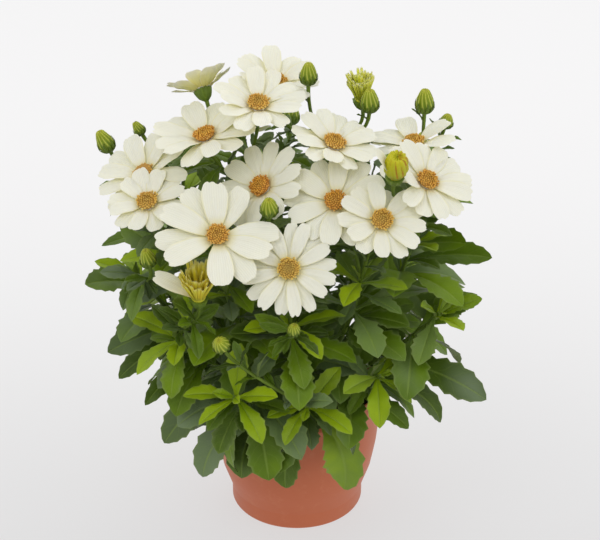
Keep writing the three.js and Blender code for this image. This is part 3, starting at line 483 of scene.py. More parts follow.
@dataclass(frozen=True)
class Blade:
    """A bent, rolled blade: a petal, a strap or a leaf."""

    root: Array
    along: Array
    up: Array
    length: float
    wide: float
    bend: float
    fold: float
    roll: float
    side: int = 0

    @classmethod
    def sprouting(cls, stem: Array, offset: float, tangent: Array, turn: float, rise: float,
                  *sizes: float) -> "Blade":
        """Return the blade of a leaf on a stem.

        Args:
            stem: The middle of the stem where the leaf grows.
            offset: How far the leaf's root lies from it.
            tangent: The stem's direction.
            turn: The turn from the front that the leaf looks to, in degrees.
            rise: Degrees above a right angle to the stem.
            sizes: The blade's length, width, bend, fold, roll and side.

        Returns:
            The blade.
        """
        radial = squared(direction(turn, 0), tangent)
        along = radial * math.cos(math.radians(rise)) + tangent * math.sin(math.radians(rise))
        sideways = squared(direction(turn + 90, 0), along)
        return cls(stem + radial * offset, along, np.cross(along, sideways), *sizes)

    def spots(self, share: Array, across: Array, lift: Array) -> Array:
        """Return places on the blade.

        Args:
            share: Shares of the length.
            across: Distances from the middle line, to the right.
            lift: Distances above the middle surface.

        Returns:
            Points in millimetres, with one more axis than share.
        """
        side = np.cross(self.along, self.up)
        turn = (np.radians(self.bend) * share)[..., None]
        rolled = (np.radians(self.roll) * share)[..., None]
        normal = self.up * np.cos(turn) + self.along * np.sin(turn)
        sideways = side * np.cos(rolled) + normal * np.sin(rolled)
        outward = normal * np.cos(rolled) - side * np.sin(rolled)
        arc = self.length / math.radians(self.bend)
        middle = self.root + self.along * arc * np.sin(turn) - self.up * arc * (1 - np.cos(turn))
        softened = np.sqrt(across ** 2 + FOLD_SOFTNESS ** 2) - FOLD_SOFTNESS
        return middle + sideways * across[..., None] + outward * (lift + softened * self.fold)[..., None]

    @cached_property
    def tip(self) -> Array:
        """Return the end of the middle line."""
        return self.spots(np.array(1.0), np.array(0.0), np.array(0.0))


class PackedPoints:
    """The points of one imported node, to be asked whether a tip is among them."""

    def __init__(self, node: str) -> None:
        """Read the points of a node."""
        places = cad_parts[node].data.vertices
        self.tree = KDTree(len(places))
        for place in places:
            self.tree.insert(place.co, place.index)
        self.tree.balance()

    def first(self, blades: Iterable[Blade]) -> Blade | None:
        """Return the first blade whose tip is among the points, or nothing."""
        for blade in blades:
            if self.tree.find(Vector(blade.tip * MM))[2] < TIP_TOLERANCE * MM:
                return blade
        return None


class Crowd:
    """What a further leaf stays clear of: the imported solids, the pot, and the leaves added so far."""

    apart = 3.2
    rim = 1.0
    view_reach = 90
    sight = Vector((0, math.cos(math.radians(29)), -math.sin(math.radians(29))))

    def __init__(self) -> None:
        """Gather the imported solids, and the flowers apart from the rest."""
        self.solids = self.gathered("")
        self.flowers = self.gathered(*(bloom.name for bloom in BLOOMS if bloom.at[1] < FAR_SIDE_Y), "brush")
        low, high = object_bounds()
        self.low, self.high = np.array(low) / MM + self.rim, np.array(high) / MM - self.rim
        self.taken = np.empty((0, 3))

    @staticmethod
    def gathered(*starts: str) -> BVHTree:
        """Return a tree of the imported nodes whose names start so, in millimetres."""
        points: list[Vector] = []
        faces: list[list[int]] = []
        for name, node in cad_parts.items():
            if name.startswith(starts):
                start = len(points)
                points += [vert.co / MM for vert in node.data.vertices]
                faces += [[start + i for i in face.vertices] for face in node.data.polygons]
        return BVHTree.FromPolygons(points, faces)

    def outside(self, spots: Array) -> bool:
        """Return whether any spot leaves the plant's own room."""
        radius = np.hypot(spots[:, 0], spots[:, 1])
        return bool(
            (spots < self.low).any() or (spots > self.high).any()
            or any(((spots > low) & (spots < high)).all(axis=1).any() for low, high in FOLIAGE_GAPS)
            or (spots[:, 2] > CROWN_TOP - CROWN_FALL * radius ** 2).any()
            or ((spots[:, 2] < POT_TOP) & (radius < POT_REACH)).any()
        )

    def admits(self, blade: Blade, clear: float) -> bool:
        """Take a blade in if it has room and hides no flower.

        Args:
            blade: The blade of the leaf.
            clear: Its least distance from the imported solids.

        Returns:
            Whether the leaf stands.
        """
        share = np.linspace(min(0.5, 7 / blade.length), 1, 7)[:, None]
        half = blade.wide / 2 * np.sin(np.clip(share, 0.1, 0.93) * math.pi) ** 0.5
        share, across = np.broadcast_arrays(share, half * np.array((-0.9, 0, 0.9)))
        spots = blade.spots(share, across, np.zeros(share.shape)).reshape(-1, 3)
        if self.outside(spots):
            return False
        for place in map(Vector, spots[::-1]):
            if self.solids.find_nearest(place, clear)[0] is not None:
                return False
            if self.flowers.ray_cast(place, self.sight, self.view_reach)[0] is not None:
                return False
        if len(self.taken) and np.linalg.norm(self.taken[:, None] - spots, axis=2).min() < self.apart:
            return False
        self.taken = np.concatenate((self.taken, spots))
        return True


def cross_axes(tangent: Array) -> tuple[Array, Array]:
    """Return two directions across a rod's tangent."""
    across = unit(np.cross((1.0, 0.0, 0.0), tangent))
    return across, np.cross(tangent, across)


class Layer(Enum):
    """The place of a face in a piece's list of materials."""

    FIRST = 0
    SECOND = 1
    THIRD = 2


@dataclass(frozen=True)
class Pleats:
    """The pleats of a round body.

    The depth is a share of the radius, points is how far the crests run past the last row in millimetres,
    and twist is how far they turn over the height in radians.
    """

    count: int = 0
    depth: float = 0.0
    points: float = 0.0
    twist: float = 0.0


@dataclass
class Draft:
    """Points and faces that grow into one mesh, with a place on the surface, a tone and a side each."""

    points: list[Array] = field(default_factory=list)
    marks: list[Array] = field(default_factory=list)
    faces: list[tuple[int, ...]] = field(default_factory=list)
    layers: list[int] = field(default_factory=list)
    count: int = 0

    def put(self, points: Array, along: Any, around: Any, tone: Any, side: Any) -> Array:
        """Add points.

        Args:
            points: An array whose last axis holds x, y and z in millimetres.
            along: The share of the length at each point.
            around: The place across or around the surface at each point.
            tone: The age or shade at each point, from 0 to 1.
            side: 1 on an upper face and 0 on an under face.

        Returns:
            The points' numbers, in the shape of the array without its last axis.
        """
        shape = points.shape[:-1]
        flat = points.reshape(-1, 3)
        marks = (np.broadcast_to(np.asarray(mark, float), shape) for mark in (around, along, tone, side))
        self.points.append(flat)
        self.marks.append(np.stack([mark.reshape(-1) for mark in marks], axis=1))
        numbers = np.arange(self.count, self.count + len(flat)).reshape(shape)
        self.count += len(flat)
        return numbers

    def face(self, corners: Sequence[int], layer: Layer) -> None:
        """Add a face, with corners that meet taken once.

        Args:
            corners: The points' numbers, in turn.
            layer: The face's material.
        """
        kept = [int(c) for i, c in enumerate(corners) if c != corners[i - 1]]
        if len(set(kept)) > 2:
            self.faces.append(tuple(kept))
            self.layers.append(layer.value)

    def grid(self, numbers: Array, layer: Layer, flip: bool = False, closed: bool = False) -> None:
        """Add the faces between the rows and columns of a grid of points.

        Args:
            numbers: The points' numbers, by row and column.
            layer: The faces' material.
            flip: Whether the faces look the other way.
            closed: Whether the last column joins the first.
        """
        rows, columns = numbers.shape
        for r in range(rows - 1):
            for c in range(columns if closed else columns - 1):
                d = (c + 1) % columns
                corners = [numbers[r, c], numbers[r, d], numbers[r + 1, d], numbers[r + 1, c]]
                self.face(corners[::-1] if flip else corners, layer)

    def sheet(self, upper: Array, under: Array, along: Array, around: Array, tone: float,
              layer: Layer = Layer.FIRST) -> None:
        """Add a thin closed sheet from the grids of its two faces, which share the upper one's outer points.

        Args:
            upper: Points of the upper face, by row and column.
            under: Points of the under face.
            along: The share of the length at each point.
            around: The place across at each point.
            tone: The age or shade of the sheet.
            layer: The faces' material.
        """
        edge = np.ones(upper.shape[:2], bool)
        edge[1:-1, 1:-1] = False
        top = self.put(upper, along, around, tone, np.where(edge, 0.5, 1.0))
        low = self.put(under, along, around, tone, 0.0)
        low = np.where(edge, top, low)
        if np.ptp(upper[-1], axis=0).max() < 1e-6:
            top[-1] = low[-1] = top[-1, 0]
        self.grid(top, layer)
        self.grid(low, layer, flip=True)

    def blade(self, blade: Blade, share: Array, across: Array, middle: Array, thick: Array, around: Array,
              tone: float) -> None:
        """Add a thin closed sheet on a blade, with a sharp edge all round.

        Args:
            blade: The blade.
            share: Shares of its length, by row and column.
            across: Distances from its middle line.
            middle: The sheet's height above the blade's middle surface.
            thick: Half of the sheet's thickness.
            around: The place across at each point.
            tone: The age or shade of the sheet.
        """
        inside = np.zeros(share.shape)
        inside[1:-1, 1:-1] = 1
        upper = blade.spots(share, across, middle + thick * inside)
        under = blade.spots(share, across, middle - thick)
        self.sheet(upper, under, np.clip(share, 0, 1), around, tone)

    def rings(self, rings: Array, tone: float, layer: Layer, capped: bool = True) -> None:
        """Add a round body through rings of points.

        Args:
            rings: The points, by ring from the foot up.
            tone: The shade of the body.
            layer: The faces' material.
            capped: Whether its ends are closed.
        """
        along = np.linspace(0, 1, len(rings))[:, None]
        numbers = self.put(rings, along, ring_angles(rings.shape[1]) / math.tau, tone, 1.0)
        self.grid(numbers, layer, closed=True)
        if capped:
            self.face(numbers[0][::-1], layer)
            self.face(numbers[-1], layer)

    def rod(self, path: Sequence[Array], tangents: Sequence[Array], radii: Sequence[float], sides: int,
            tone: float, layer: Layer) -> None:
        """Add a round rod through a row of points.

        Args:
            path: The middles of the rings.
            tangents: The rod's direction at each.
            radii: Its radius at each.
            sides: How many sides it has.
            tone: Its shade.
            layer: Its material.
        """
        angles = ring_angles(sides)
        rings = []
        for middle, tangent, radius in zip(path, tangents, radii):
            across, aside = cross_axes(tangent)
            circle = np.outer(np.cos(angles), across) + np.outer(np.sin(angles), aside)
            rings.append(middle + radius * circle)
        self.rings(np.array(rings), tone, layer)

    def turned(self, at: Array, axes: Axes, rows: Iterable[Pair], sides: int, tone: float,
               layer: Layer = Layer.FIRST, pleats: Pleats = Pleats(), capped: bool = True) -> None:
        """Add a round body about an axis.

        Args:
            at: The foot of the axis.
            axes: The body's axes.
            rows: Radii and heights, from the foot up.
            sides: How many sides it has.
            tone: Its shade.
            layer: Its material.
            pleats: The pleats that go round it.
            capped: Whether its ends are closed.
        """
        angles = ring_angles(sides)
        radii, heights = np.array(rows, float).T[..., None]
        share = np.arange(len(radii))[:, None] / (len(radii) - 1)
        crest = np.cos(pleats.count * (angles + pleats.twist * share))
        spans = radii * (1 + pleats.depth * crest * np.minimum(1, 2.5 * share))
        rise = heights + pleats.points * share ** 4 * (crest + 1) / 2
        self.rings(axes.about(at, spans, angles, rise), tone, layer, capped)

    def build(self, name: str, finishes: Sequence[Material], sharp: float = 50) -> Piece:
        """Make the object.

        Args:
            name: The object's name.
            finishes: The materials, in the order of the layers.
            sharp: The angle in degrees past which an edge is sharp.

        Returns:
            The object, linked to the scene, in metres.
        """
        mesh = bpy.data.meshes.new(name)
        points = np.concatenate(self.points) * MM
        marks = np.concatenate(self.marks)
        mesh.from_pydata(points.tolist(), [], self.faces)
        mesh.polygons.foreach_set("material_index", self.layers)
        mesh.polygons.foreach_set("use_smooth", [True] * len(self.faces))
        for column, kind in ((2, "tone"), (3, "side")):
            mark = mesh.attributes.new(kind, "FLOAT", "POINT")
            mark.data.foreach_set("value", marks[:, column].astype(np.float32))
        corner = np.empty(len(mesh.loops), dtype=np.int32)
        mesh.loops.foreach_get("vertex_index", corner)
        flat = mesh.uv_layers.new(name="surface")
        flat.data.foreach_set("uv", marks[corner][:, :2].astype(np.float32).reshape(-1))
        for finish in finishes:
            mesh.materials.append(finish)
        drop_loose(mesh)
        mesh.set_sharp_from_angle(angle=math.radians(sharp))
        return placed(name, mesh)


def drop_loose(mesh: Mesh) -> None:
    """Take out points that no face uses."""
    sketch = bmesh.new()
    sketch.from_mesh(mesh)
    loose = [vert for vert in sketch.verts if not vert.link_faces]
    bmesh.ops.delete(sketch, geom=loose, context="VERTS")
    sketch.to_mesh(mesh)
    sketch.free()


def placed(name: str, data: Any) -> Piece:
    """Put an object that holds a mesh, a lamp or a camera in the scene, and return it."""
    piece = bpy.data.objects.new(name, data)
    bpy.context.scene.collection.objects.link(piece)
    return piece


def declare(piece: Piece, slot: str, *nodes: str) -> None:
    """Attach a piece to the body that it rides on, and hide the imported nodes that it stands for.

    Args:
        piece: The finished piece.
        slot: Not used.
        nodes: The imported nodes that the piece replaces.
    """
    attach(piece, BODY)
    if nodes:
        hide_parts(*nodes)
    log.info("%s: %d faces", piece.name, len(piece.data.polygons))


def linear(red: float, green: float, blue: float) -> tuple[float, ...]:
    """Return a display colour of 0 to 255 as a linear colour."""
    channels = (value / 255 for value in (red, green, blue))
    return (*(c / 12.92 if c <= 0.04045 else ((c + 0.055) / 1.055) ** 2.4 for c in channels), 1.0)


class Wiring:
    """Adds and joins the nodes of one tree. Colours are display colours of 0 to 255."""

    def __init__(self, tree: bpy.types.NodeTree) -> None:
        """Start on an empty tree."""
        self.tree = tree
        tree.nodes.clear()

    def add(self, kind: str, inputs: dict[Any, Any] | None = None, **options: Any) -> bpy.types.Node:
        """Add a node.

        Args:
            kind: The node's type.
            inputs: Values or sockets for its inputs, by name or number.
            options: Properties of the node.

        Returns:
            The node.
        """
        node = self.tree.nodes.new(kind)
        for name, value in options.items():
            setattr(node, name, value)
        for name, value in (inputs or {}).items():
            if isinstance(value, Socket):
                self.tree.links.new(value, node.inputs[name])
            else:
                node.inputs[name].default_value = value
        return node

    def math(self, operation: str, *values: Any, clamped: bool = False) -> Socket:
        """Return the result of a sum on numbers."""
        inputs = dict(enumerate(values))
        return self.add("ShaderNodeMath", inputs, operation=operation, use_clamp=clamped).outputs[0]

    def times(self, first: Any, second: Any) -> Socket:
        """Return a product."""
        return self.math("MULTIPLY", first, second)

    def plus(self, first: Any, second: Any, clamped: bool = False) -> Socket:
        """Return a sum."""
        return self.math("ADD", first, second, clamped=clamped)

    def minus(self, first: Any, second: Any, clamped: bool = False) -> Socket:
        """Return a difference."""
        return self.math("SUBTRACT", first, second, clamped=clamped)

    def tint(self, colour: Any, other: Any, share: Any, amount: Any = None) -> Socket:
        """Return a colour that is mixed with another by a share, or by an amount of it."""
        share = share if amount is None else self.times(share, amount)
        first, second = (linear(*c) if isinstance(c, tuple) else c for c in (colour, other))
        return self.add("ShaderNodeMix", {0: share, 6: first, 7: second}, data_type="RGBA").outputs[2]

    def smooth(self, value: Any, low: float, high: float) -> Socket:
        """Return a number that rises smoothly from 0 to 1 between two values."""
        node = self.add("ShaderNodeMapRange", {0: value, 1: low, 2: high}, interpolation_type="SMOOTHSTEP")
        return node.outputs[0]

    def noise(self, place: Any, scale: float, detail: float = 3, rough: float = 0.55) -> Socket:
        """Return a noise number at a place."""
        inputs = {"Vector": place, "Scale": scale, "Detail": detail, "Roughness": rough}
        return self.add("ShaderNodeTexNoise", inputs).outputs["Fac"]

    def ramp(self, value: Any, *stops: tuple[float, Triple]) -> Socket:
        """Return the colour of a ramp at a value.

        Args:
            value: The value.
            stops: The place and the colour of each stop.

        Returns:
            The colour.
        """
        node = self.add("ShaderNodeValToRGB", {0: value})
        points = node.color_ramp.elements
        while len(points) < len(stops):
            points.new(0.5)
        for point, (place, colour) in zip(points, stops):
            point.position = place
            point.color = linear(*colour)
        return node.outputs[0]

    def vector(self, *parts: Any) -> Socket:
        """Return a vector of three numbers."""
        return self.add("ShaderNodeCombineXYZ", dict(enumerate(parts))).outputs[0]

    def parts(self, vector: Any) -> Any:
        """Return the three numbers of a vector."""
        return self.add("ShaderNodeSeparateXYZ", {0: vector}).outputs

    def random(self, low: Any, high: Any, seed: Any) -> Socket:
        """Return a random number, or a random vector, between two."""
        kind, first, result = ("FLOAT_VECTOR", 0, 0) if isinstance(low, tuple) else ("FLOAT", 2, 1)
        inputs = {first: low, first + 1: high, "Seed": seed}
        return self.add("FunctionNodeRandomValue", inputs, data_type=kind).outputs[result]

    def place(self) -> Socket:
        """Return the place in the object."""
        return self.add("ShaderNodeTexCoord").outputs["Object"]

    def surface(self) -> tuple[Socket, Socket, Socket]:
        """Return the place across, the share of the length and the place in the object."""
        flat = self.parts(self.add("ShaderNodeUVMap", uv_map="surface").outputs[0])
        return flat[0], flat[1], self.place()

    def marked(self, name: str) -> Socket:
        """Return the number that a mesh carries under a name."""
        return self.add("ShaderNodeAttribute", attribute_name=name).outputs["Fac"]


Painted = tuple[Socket, Socket, Socket]


@dataclass(frozen=True)
class Finish:
    """A material made of nodes. Each kind says how its colour, roughness and relief are made."""

    name: str
    roughness: float = 0.5
    specular: float = 0.5
    soft: float = 0.0
    relief: float = 0.0003

    def paint(self, w: Wiring) -> Painted:
        """Return the colour, roughness and height."""
        raise NotImplementedError

    def rough(self, w: Wiring, grain: Socket, reach: float) -> Socket:
        """Return a roughness that follows a grain about the finish's own."""
        return w.plus(w.times(grain, reach), self.roughness - reach / 2)

    def further(self, w: Wiring) -> dict[str, Any]:
        """Return further inputs of the shader: light that goes a little way into the leaf or petal."""
        depth = {"Subsurface Radius": (0.6, 0.5, 0.35), "Subsurface Scale": 0.004}
        return {"Subsurface Weight": self.soft, **depth} if self.soft else {}

    def build(self) -> Material:
        """Make and return the material, with one principled shader."""
        material = bpy.data.materials.new(self.name)
        material.use_nodes = True
        w = Wiring(material.node_tree)
        colour, rough, height = self.paint(w)
        bump = w.add("ShaderNodeBump", {"Strength": 0.6, "Distance": self.relief, "Height": height})
        shader = w.add("ShaderNodeBsdfPrincipled", {
            "Base Color": colour, "Roughness": rough, "Normal": bump.outputs[0],
            "Specular IOR Level": self.specular, **self.further(w),
        })
        w.add("ShaderNodeOutputMaterial", {"Surface": shader.outputs[0]})
        return material


@dataclass(frozen=True)
class PetalFinish(Finish):
    """Cream-white petals: yellow at the root, fine lengthwise lines painted darker as shade in their grooves,
    and a yellow-green tinge beneath that is painted lighter to make up for the shade under the petal.
    """

    cream: Triple = (252, 251, 232)
    shaded: Triple = (242, 238, 210)
    root: Triple = (238, 228, 140)
    # line is the colour of the painted shade in the petals' grooves.
    line: Triple = (205, 200, 165)

    def paint(self, w: Wiring) -> Painted:
        """Return the colour, roughness and height."""
        across, along, place = w.surface()
        cloud = w.noise(place, 60, 2)
        colour = w.tint(self.cream, self.shaded, cloud, 0.35)
        beneath = w.minus(1, w.marked("side"), clamped=True)
        # The under face has a real yellow tinge, painted lighter than its own colour to make up for the shade
        # beneath the petal.
        under = w.ramp(along, (0.0, (240, 226, 96)), (0.45, (250, 243, 164)), (1.0, (254, 251, 228)))
        colour = w.tint(colour, under, beneath, 0.85)
        colour = w.tint(colour, self.root, w.minus(1, w.smooth(along, 0.02, 0.3)), 0.6)
        lines = w.math("SINE", w.times(across, 36))
        # Painted shade: the petal is darker along the troughs of its fine lengthwise lines, as shade in their
        # grooves.
        colour = w.tint(colour, self.line, w.smooth(w.times(lines, -1), 0.5, 1.2), 0.16)
        fine = w.plus(w.times(lines, 0.5), w.times(w.noise(place, 900, 2), 0.6))
        return colour, self.rough(w, cloud, 0.12), fine


@dataclass(frozen=True)
class StrapFinish(Finish):
    """Yellow petals of an opening or closing bloom, greener at the foot."""

    streak: Triple = (232, 174, 34)

    def paint(self, w: Wiring) -> Painted:
        """Return the colour, roughness and height."""
        across, along, place = w.surface()
        cool = w.ramp(along, (0.0, (150, 170, 44)), (0.25, (212, 222, 56)), (0.75, (232, 238, 80)),
                      (1.0, (242, 244, 128)))
        warm = w.ramp(along, (0.0, (214, 198, 66)), (0.3, (252, 222, 54)), (0.75, (254, 234, 72)),
                      (1.0, (254, 244, 120)))
        colour = w.tint(cool, warm, w.marked("tone"))
        drawn_out = w.add("ShaderNodeMapping", {0: place, 3: (1, 1, 0.2)}).outputs[0]
        colour = w.tint(colour, self.streak, w.smooth(w.noise(drawn_out, 420), 0.5, 0.75), 0.25)
        return colour, self.rough(w, w.noise(place, 90), 0.1), w.math("SINE", w.times(across, 9))


@dataclass(frozen=True)
class LeafFinish(Finish):
    """Green leaves: bright when young, dark when old and where the tone paints shade on low leaves, with a
    painted grey sheen, and paler ribs, veins and margins.
    """

    # wax is the grey colour of the painted sheen.
    painted_sheen: Triple = (122, 140, 106)
    rib: Triple = (140, 164, 72)
    margin: Triple = (150, 170, 70)
    under: Triple = (130, 146, 90)

    def paint(self, w: Wiring) -> Painted:
        """Return the colour, roughness and height."""
        across, along, place = w.surface()
        tone = w.marked("tone")
        cloud = w.noise(place, 38, 3)
        shade = w.plus(tone, w.times(w.minus(cloud, 0.5), 0.5), clamped=True)
        colour = w.ramp(shade, (0.0, (64, 86, 16)), (0.3, (92, 121, 12)), (0.6, (120, 150, 8)),
                        (1.0, (164, 190, 14)))
        # The tone's last digits differ from leaf to leaf, so some leaves carry the painted grey sheen all
        # over; patches of it lie on the rest, and it is stronger on darker leaves.
        own = w.math("FRACT", w.times(tone, 61))
        painted_sheen = w.math("MAXIMUM", w.smooth(w.noise(place, 14, 2), 0.5, 0.72), w.smooth(own, 0.55, 0.85))
        colour = w.tint(colour, self.painted_sheen, painted_sheen, w.minus(0.85, shade, clamped=True))
        out = w.math("ABSOLUTE", across)
        # Side veins leave the midrib and run forward to the margin.
        wander = w.times(w.noise(place, 130, 2), 0.08)
        slant = w.minus(w.plus(along, wander), w.times(out, 0.16))
        wave = w.math("ABSOLUTE", w.math("SINE", w.times(slant, 24)))
        vein = w.minus(1, w.smooth(wave, 0.0, 0.24))
        vein = w.times(vein, w.minus(1, w.smooth(out, 0.7, 1.0)))
        midrib = w.minus(1, w.smooth(out, 0.03, 0.11))
        rib = w.math("MAXIMUM", midrib, w.times(vein, 0.3))
        colour = w.tint(colour, self.rib, rib, 0.36)
        colour = w.tint(colour, self.margin, w.smooth(out, 0.93, 1.0), 0.3)
        colour = w.tint(colour, self.under, w.minus(1, w.marked("side"), clamped=True), 0.7)
        height = w.minus(w.times(w.noise(place, 700, 2), 0.5), rib)
        return colour, self.rough(w, cloud, 0.2), height


@dataclass(frozen=True)
class StemFinish(Finish):
    """Green stems, stalks and sepals with fine ridges; the tone makes them brighter."""

    dark: Triple = (68, 94, 22)
    bright: Triple = (134, 160, 52)

    def paint(self, w: Wiring) -> Painted:
        """Return the colour, roughness and height."""
        across, _, place = w.surface()
        grain = w.noise(place, 160, 3)
        share = w.plus(w.marked("tone"), w.times(w.minus(grain, 0.5), 0.7), clamped=True)
        ridges = w.math("SINE", w.times(across, 50))
        colour = w.tint(self.dark, self.bright, share)
        colour = w.tint(colour, self.bright, w.smooth(ridges, 0, 1), 0.2)
        return colour, self.rough(w, grain, 0.15), ridges


@dataclass(frozen=True)
class BudFinish(Finish):
    """Rolled-up petals: yellow-green with pale lines, or, where the tone is high, yellow with orange ones."""

    pale: Triple = (214, 218, 96)
    orange: Triple = (190, 130, 10)

    def paint(self, w: Wiring) -> Painted:
        """Return the colour, roughness and height."""
        across, along, place = w.surface()
        green = w.ramp(along, (0.0, (74, 102, 20)), (0.35, (100, 130, 18)), (0.65, (146, 164, 20)),
                       (1.0, (200, 200, 52)))
        turned = w.plus(across, w.times(along, 0.14))
        streak = w.smooth(w.math("COSINE", w.times(turned, math.tau * 12)), -0.2, 1.0)
        green = w.tint(green, self.pale, streak, 0.62)
        warm = w.ramp(along, (0.0, (92, 120, 24)), (0.3, (186, 186, 20)), (0.7, (214, 206, 24)),
                      (1.0, (208, 208, 44)))
        broad = w.smooth(w.math("COSINE", w.times(turned, -math.tau * 11)), -0.4, -0.95)
        broken = w.smooth(w.noise(place, 160), 0.4, 0.62)
        warm = w.tint(warm, self.orange, broad, broken)
        colour = w.tint(green, warm, w.marked("tone"))
        return colour, self.rough(w, w.noise(place, 90), 0.12), streak


@dataclass(frozen=True)
class FloretFinish(Finish):
    """Golden-orange florets: yellower in the middle, brown-orange at the rim, pale at their tips, and painted
    darker towards their feet and on the cushion between them as shade.
    """

    tip: Triple = (252, 228, 140)
    painted_foot_shade: Triple = (132, 80, 26)
    dark: Triple = (140, 88, 36)

    def paint(self, w: Wiring) -> Painted:
        """Return the colour, roughness and height."""
        place = w.place()
        ring = w.marked("ring")
        young = w.ramp(ring, (0.0, (196, 176, 88)), (0.6, (220, 182, 82)), (0.85, (238, 200, 96)),
                       (1.0, (244, 230, 140)))
        ripe = w.ramp(ring, (0.0, (236, 182, 74)), (0.5, (246, 186, 68)), (0.85, (230, 158, 58)),
                      (1.0, (204, 140, 66)))
        colour = w.tint(young, ripe, w.marked("tone"))
        spots = w.noise(place, 1400, 2)
        height = w.marked("tip")
        tips = w.times(w.smooth(height, 0.55, 0.95), w.smooth(spots, 0.34, 0.6))
        colour = w.tint(colour, self.tip, tips, 0.9)
        # Painted shade: florets darken towards their feet, and the cushion between them, whose tip is 0, takes
        # it in full.
        colour = w.tint(colour, self.painted_foot_shade, w.minus(1, w.smooth(height, 0.1, 0.62)), 0.5)
        colour = w.tint(colour, self.dark, w.smooth(w.noise(place, 700, 1), 0.58, 0.72), 0.35)
        return colour, self.rough(w, spots, 0.2), spots


@dataclass(frozen=True)
class PotFinish(Finish):
    """Moulded plastic in a terracotta colour: faint clouds, fine turned lines and a matt skin."""

    body: Triple = (188, 94, 54)
    pale: Triple = (206, 120, 76)
    dusty: Triple = (214, 148, 108)

    def paint(self, w: Wiring) -> Painted:
        """Return the colour, roughness and height."""
        place = w.place()
        colour = w.tint(self.body, self.pale, w.noise(place, 14, 4), 0.4)
        dust = w.noise(place, 90, 5, 0.7)
        colour = w.tint(colour, self.dusty, w.smooth(dust, 0.5, 0.8), 0.25)
        turned = w.math("SINE", w.times(w.parts(place)[2], 5200))
        skin = w.plus(w.times(turned, 0.25), w.times(w.noise(place, 1500, 2), 0.8))
        return colour, self.rough(w, dust, 0.16), skin


@dataclass(frozen=True)
class SoilFinish(Finish):
    """Dark crumbly compost with paler bits of fibre and bark."""

    def paint(self, w: Wiring) -> Painted:
        """Return the colour, roughness and height."""
        grain = w.noise(w.place(), 420, 6, 0.7)
        colour = w.ramp(grain, (0.25, (26, 18, 12)), (0.55, (64, 44, 30)), (0.8, (120, 92, 62)))
        return colour, self.rough(w, grain, 0.1), grain


@dataclass(frozen=True)
class PaperFinish(Finish):
    """The plain pale floor, with a very faint mottle, which glows with painted light that grows towards the
    back and keeps the plant's shadow on it faint.

    near, middle and far are places along the floor, in metres from the pot, and the glow there.
    """

    near: Pair = (0.0, 0.59)
    middle: Pair = (0.4, 0.685)
    far: Pair = (1.0, 0.71)

    def paint(self, w: Wiring) -> Painted:
        """Return the colour, roughness and height."""
        mottle = w.noise(w.place(), 3, 2)
        return w.tint((130, 129, 130), (124, 123, 125), mottle, 0.2), self.rough(w, mottle, 0.05), mottle

    def further(self, w: Wiring) -> dict[str, Any]:
        """Return the painted glow, which grows towards the back of the floor and lightens the shadow on it."""
        # Painted light: the floor glows, more towards the back, so the plant's shadow on it stays faint.
        glow = w.add("ShaderNodeFloatCurve", {"Value": w.parts(w.place())[1]})
        curve = glow.mapping.curves[0]
        for point, spot in zip(curve.points, (self.near, self.far)):
            point.location = spot
        curve.points.new(*self.middle)
        glow.mapping.update()
        return {"Emission Color": (1, 0.998, 1, 1), "Emission Strength": glow.outputs[0]}


@dataclass(frozen=True)
class Finishes:
    """All the materials of the plant, its pot and the floor."""

    petal: Material = field(default_factory=PetalFinish("petal", 0.5, 0.35, 0.2, 0.00012).build)
    strap: Material = field(default_factory=StrapFinish("strap", 0.55, 0.35, 0.5, 0.0002).build)
    leaf: Material = field(default_factory=LeafFinish("leaf", 0.48, 0.26, 0.0, 0.0003).build)
    stem: Material = field(default_factory=StemFinish("stem", 0.575, 0.4, 0.0, 0.0002).build)
    bud: Material = field(default_factory=BudFinish("bud", 0.51, 0.4, 0.1, 0.0003).build)
    floret: Material = field(default_factory=FloretFinish("floret", 0.75, 0.3, 0.0, 0.0002).build)
    pot: Material = field(default_factory=PotFinish("pot_plastic", 0.48, 0.5, 0.0, 0.00006).build)
    soil: Material = field(default_factory=SoilFinish("compost", 0.93, 0.2, 0.0, 0.0012).build)
    paper: Material = field(default_factory=PaperFinish("paper", 0.925, 0.1, 0.0, 0.0001).build)


@dataclass(frozen=True)
class LeafOutline:
    """A toothed outline: shares of the length, and half-widths there as shares of the greatest."""

    places: tuple[float, ...]
    widths: tuple[float, ...]

    def rows(self, between: int) -> tuple[Array, Array]:
        """Return the rows of a grid along the outline.

        Args:
            between: How many steps there are from one place to the next.

        Returns:
            The shares of the length and the half-widths.
        """
        last = len(self.places) - 1
        steps = np.linspace(0, last, last * between + 1)
        return np.interp(steps, range(last + 1), self.places), np.interp(steps, range(last + 1), self.widths)


class LeafKind(Enum):
    """The three outlines of the leaves."""

    LARGE = LeafOutline(
        (0, 0.1, 0.2, 0.3, 0.41, 0.45, 0.53, 0.57, 0.65, 0.695, 0.78, 0.815, 0.89, 0.92, 0.97, 1),
        (0.1, 0.11, 0.2, 0.42, 0.8, 0.68, 0.94, 0.8, 1.02, 0.84, 0.88, 0.7, 0.6, 0.44, 0.24, 0),
    )
    TOOTHED = LeafOutline(
        (0, 0.1, 0.2, 0.32, 0.45, 0.49, 0.58, 0.62, 0.71, 0.75, 0.83, 0.87, 0.94, 1),
        (0.11, 0.13, 0.22, 0.46, 0.86, 0.72, 1.0, 0.84, 1.02, 0.82, 0.78, 0.6, 0.34, 0),
    )
    YOUNG = LeafOutline(
        (0, 0.12, 0.24, 0.36, 0.48, 0.53, 0.64, 0.68, 0.78, 0.82, 0.92, 1),
        (0.16, 0.24, 0.42, 0.68, 0.92, 0.82, 1.0, 0.88, 0.84, 0.7, 0.4, 0),
    )


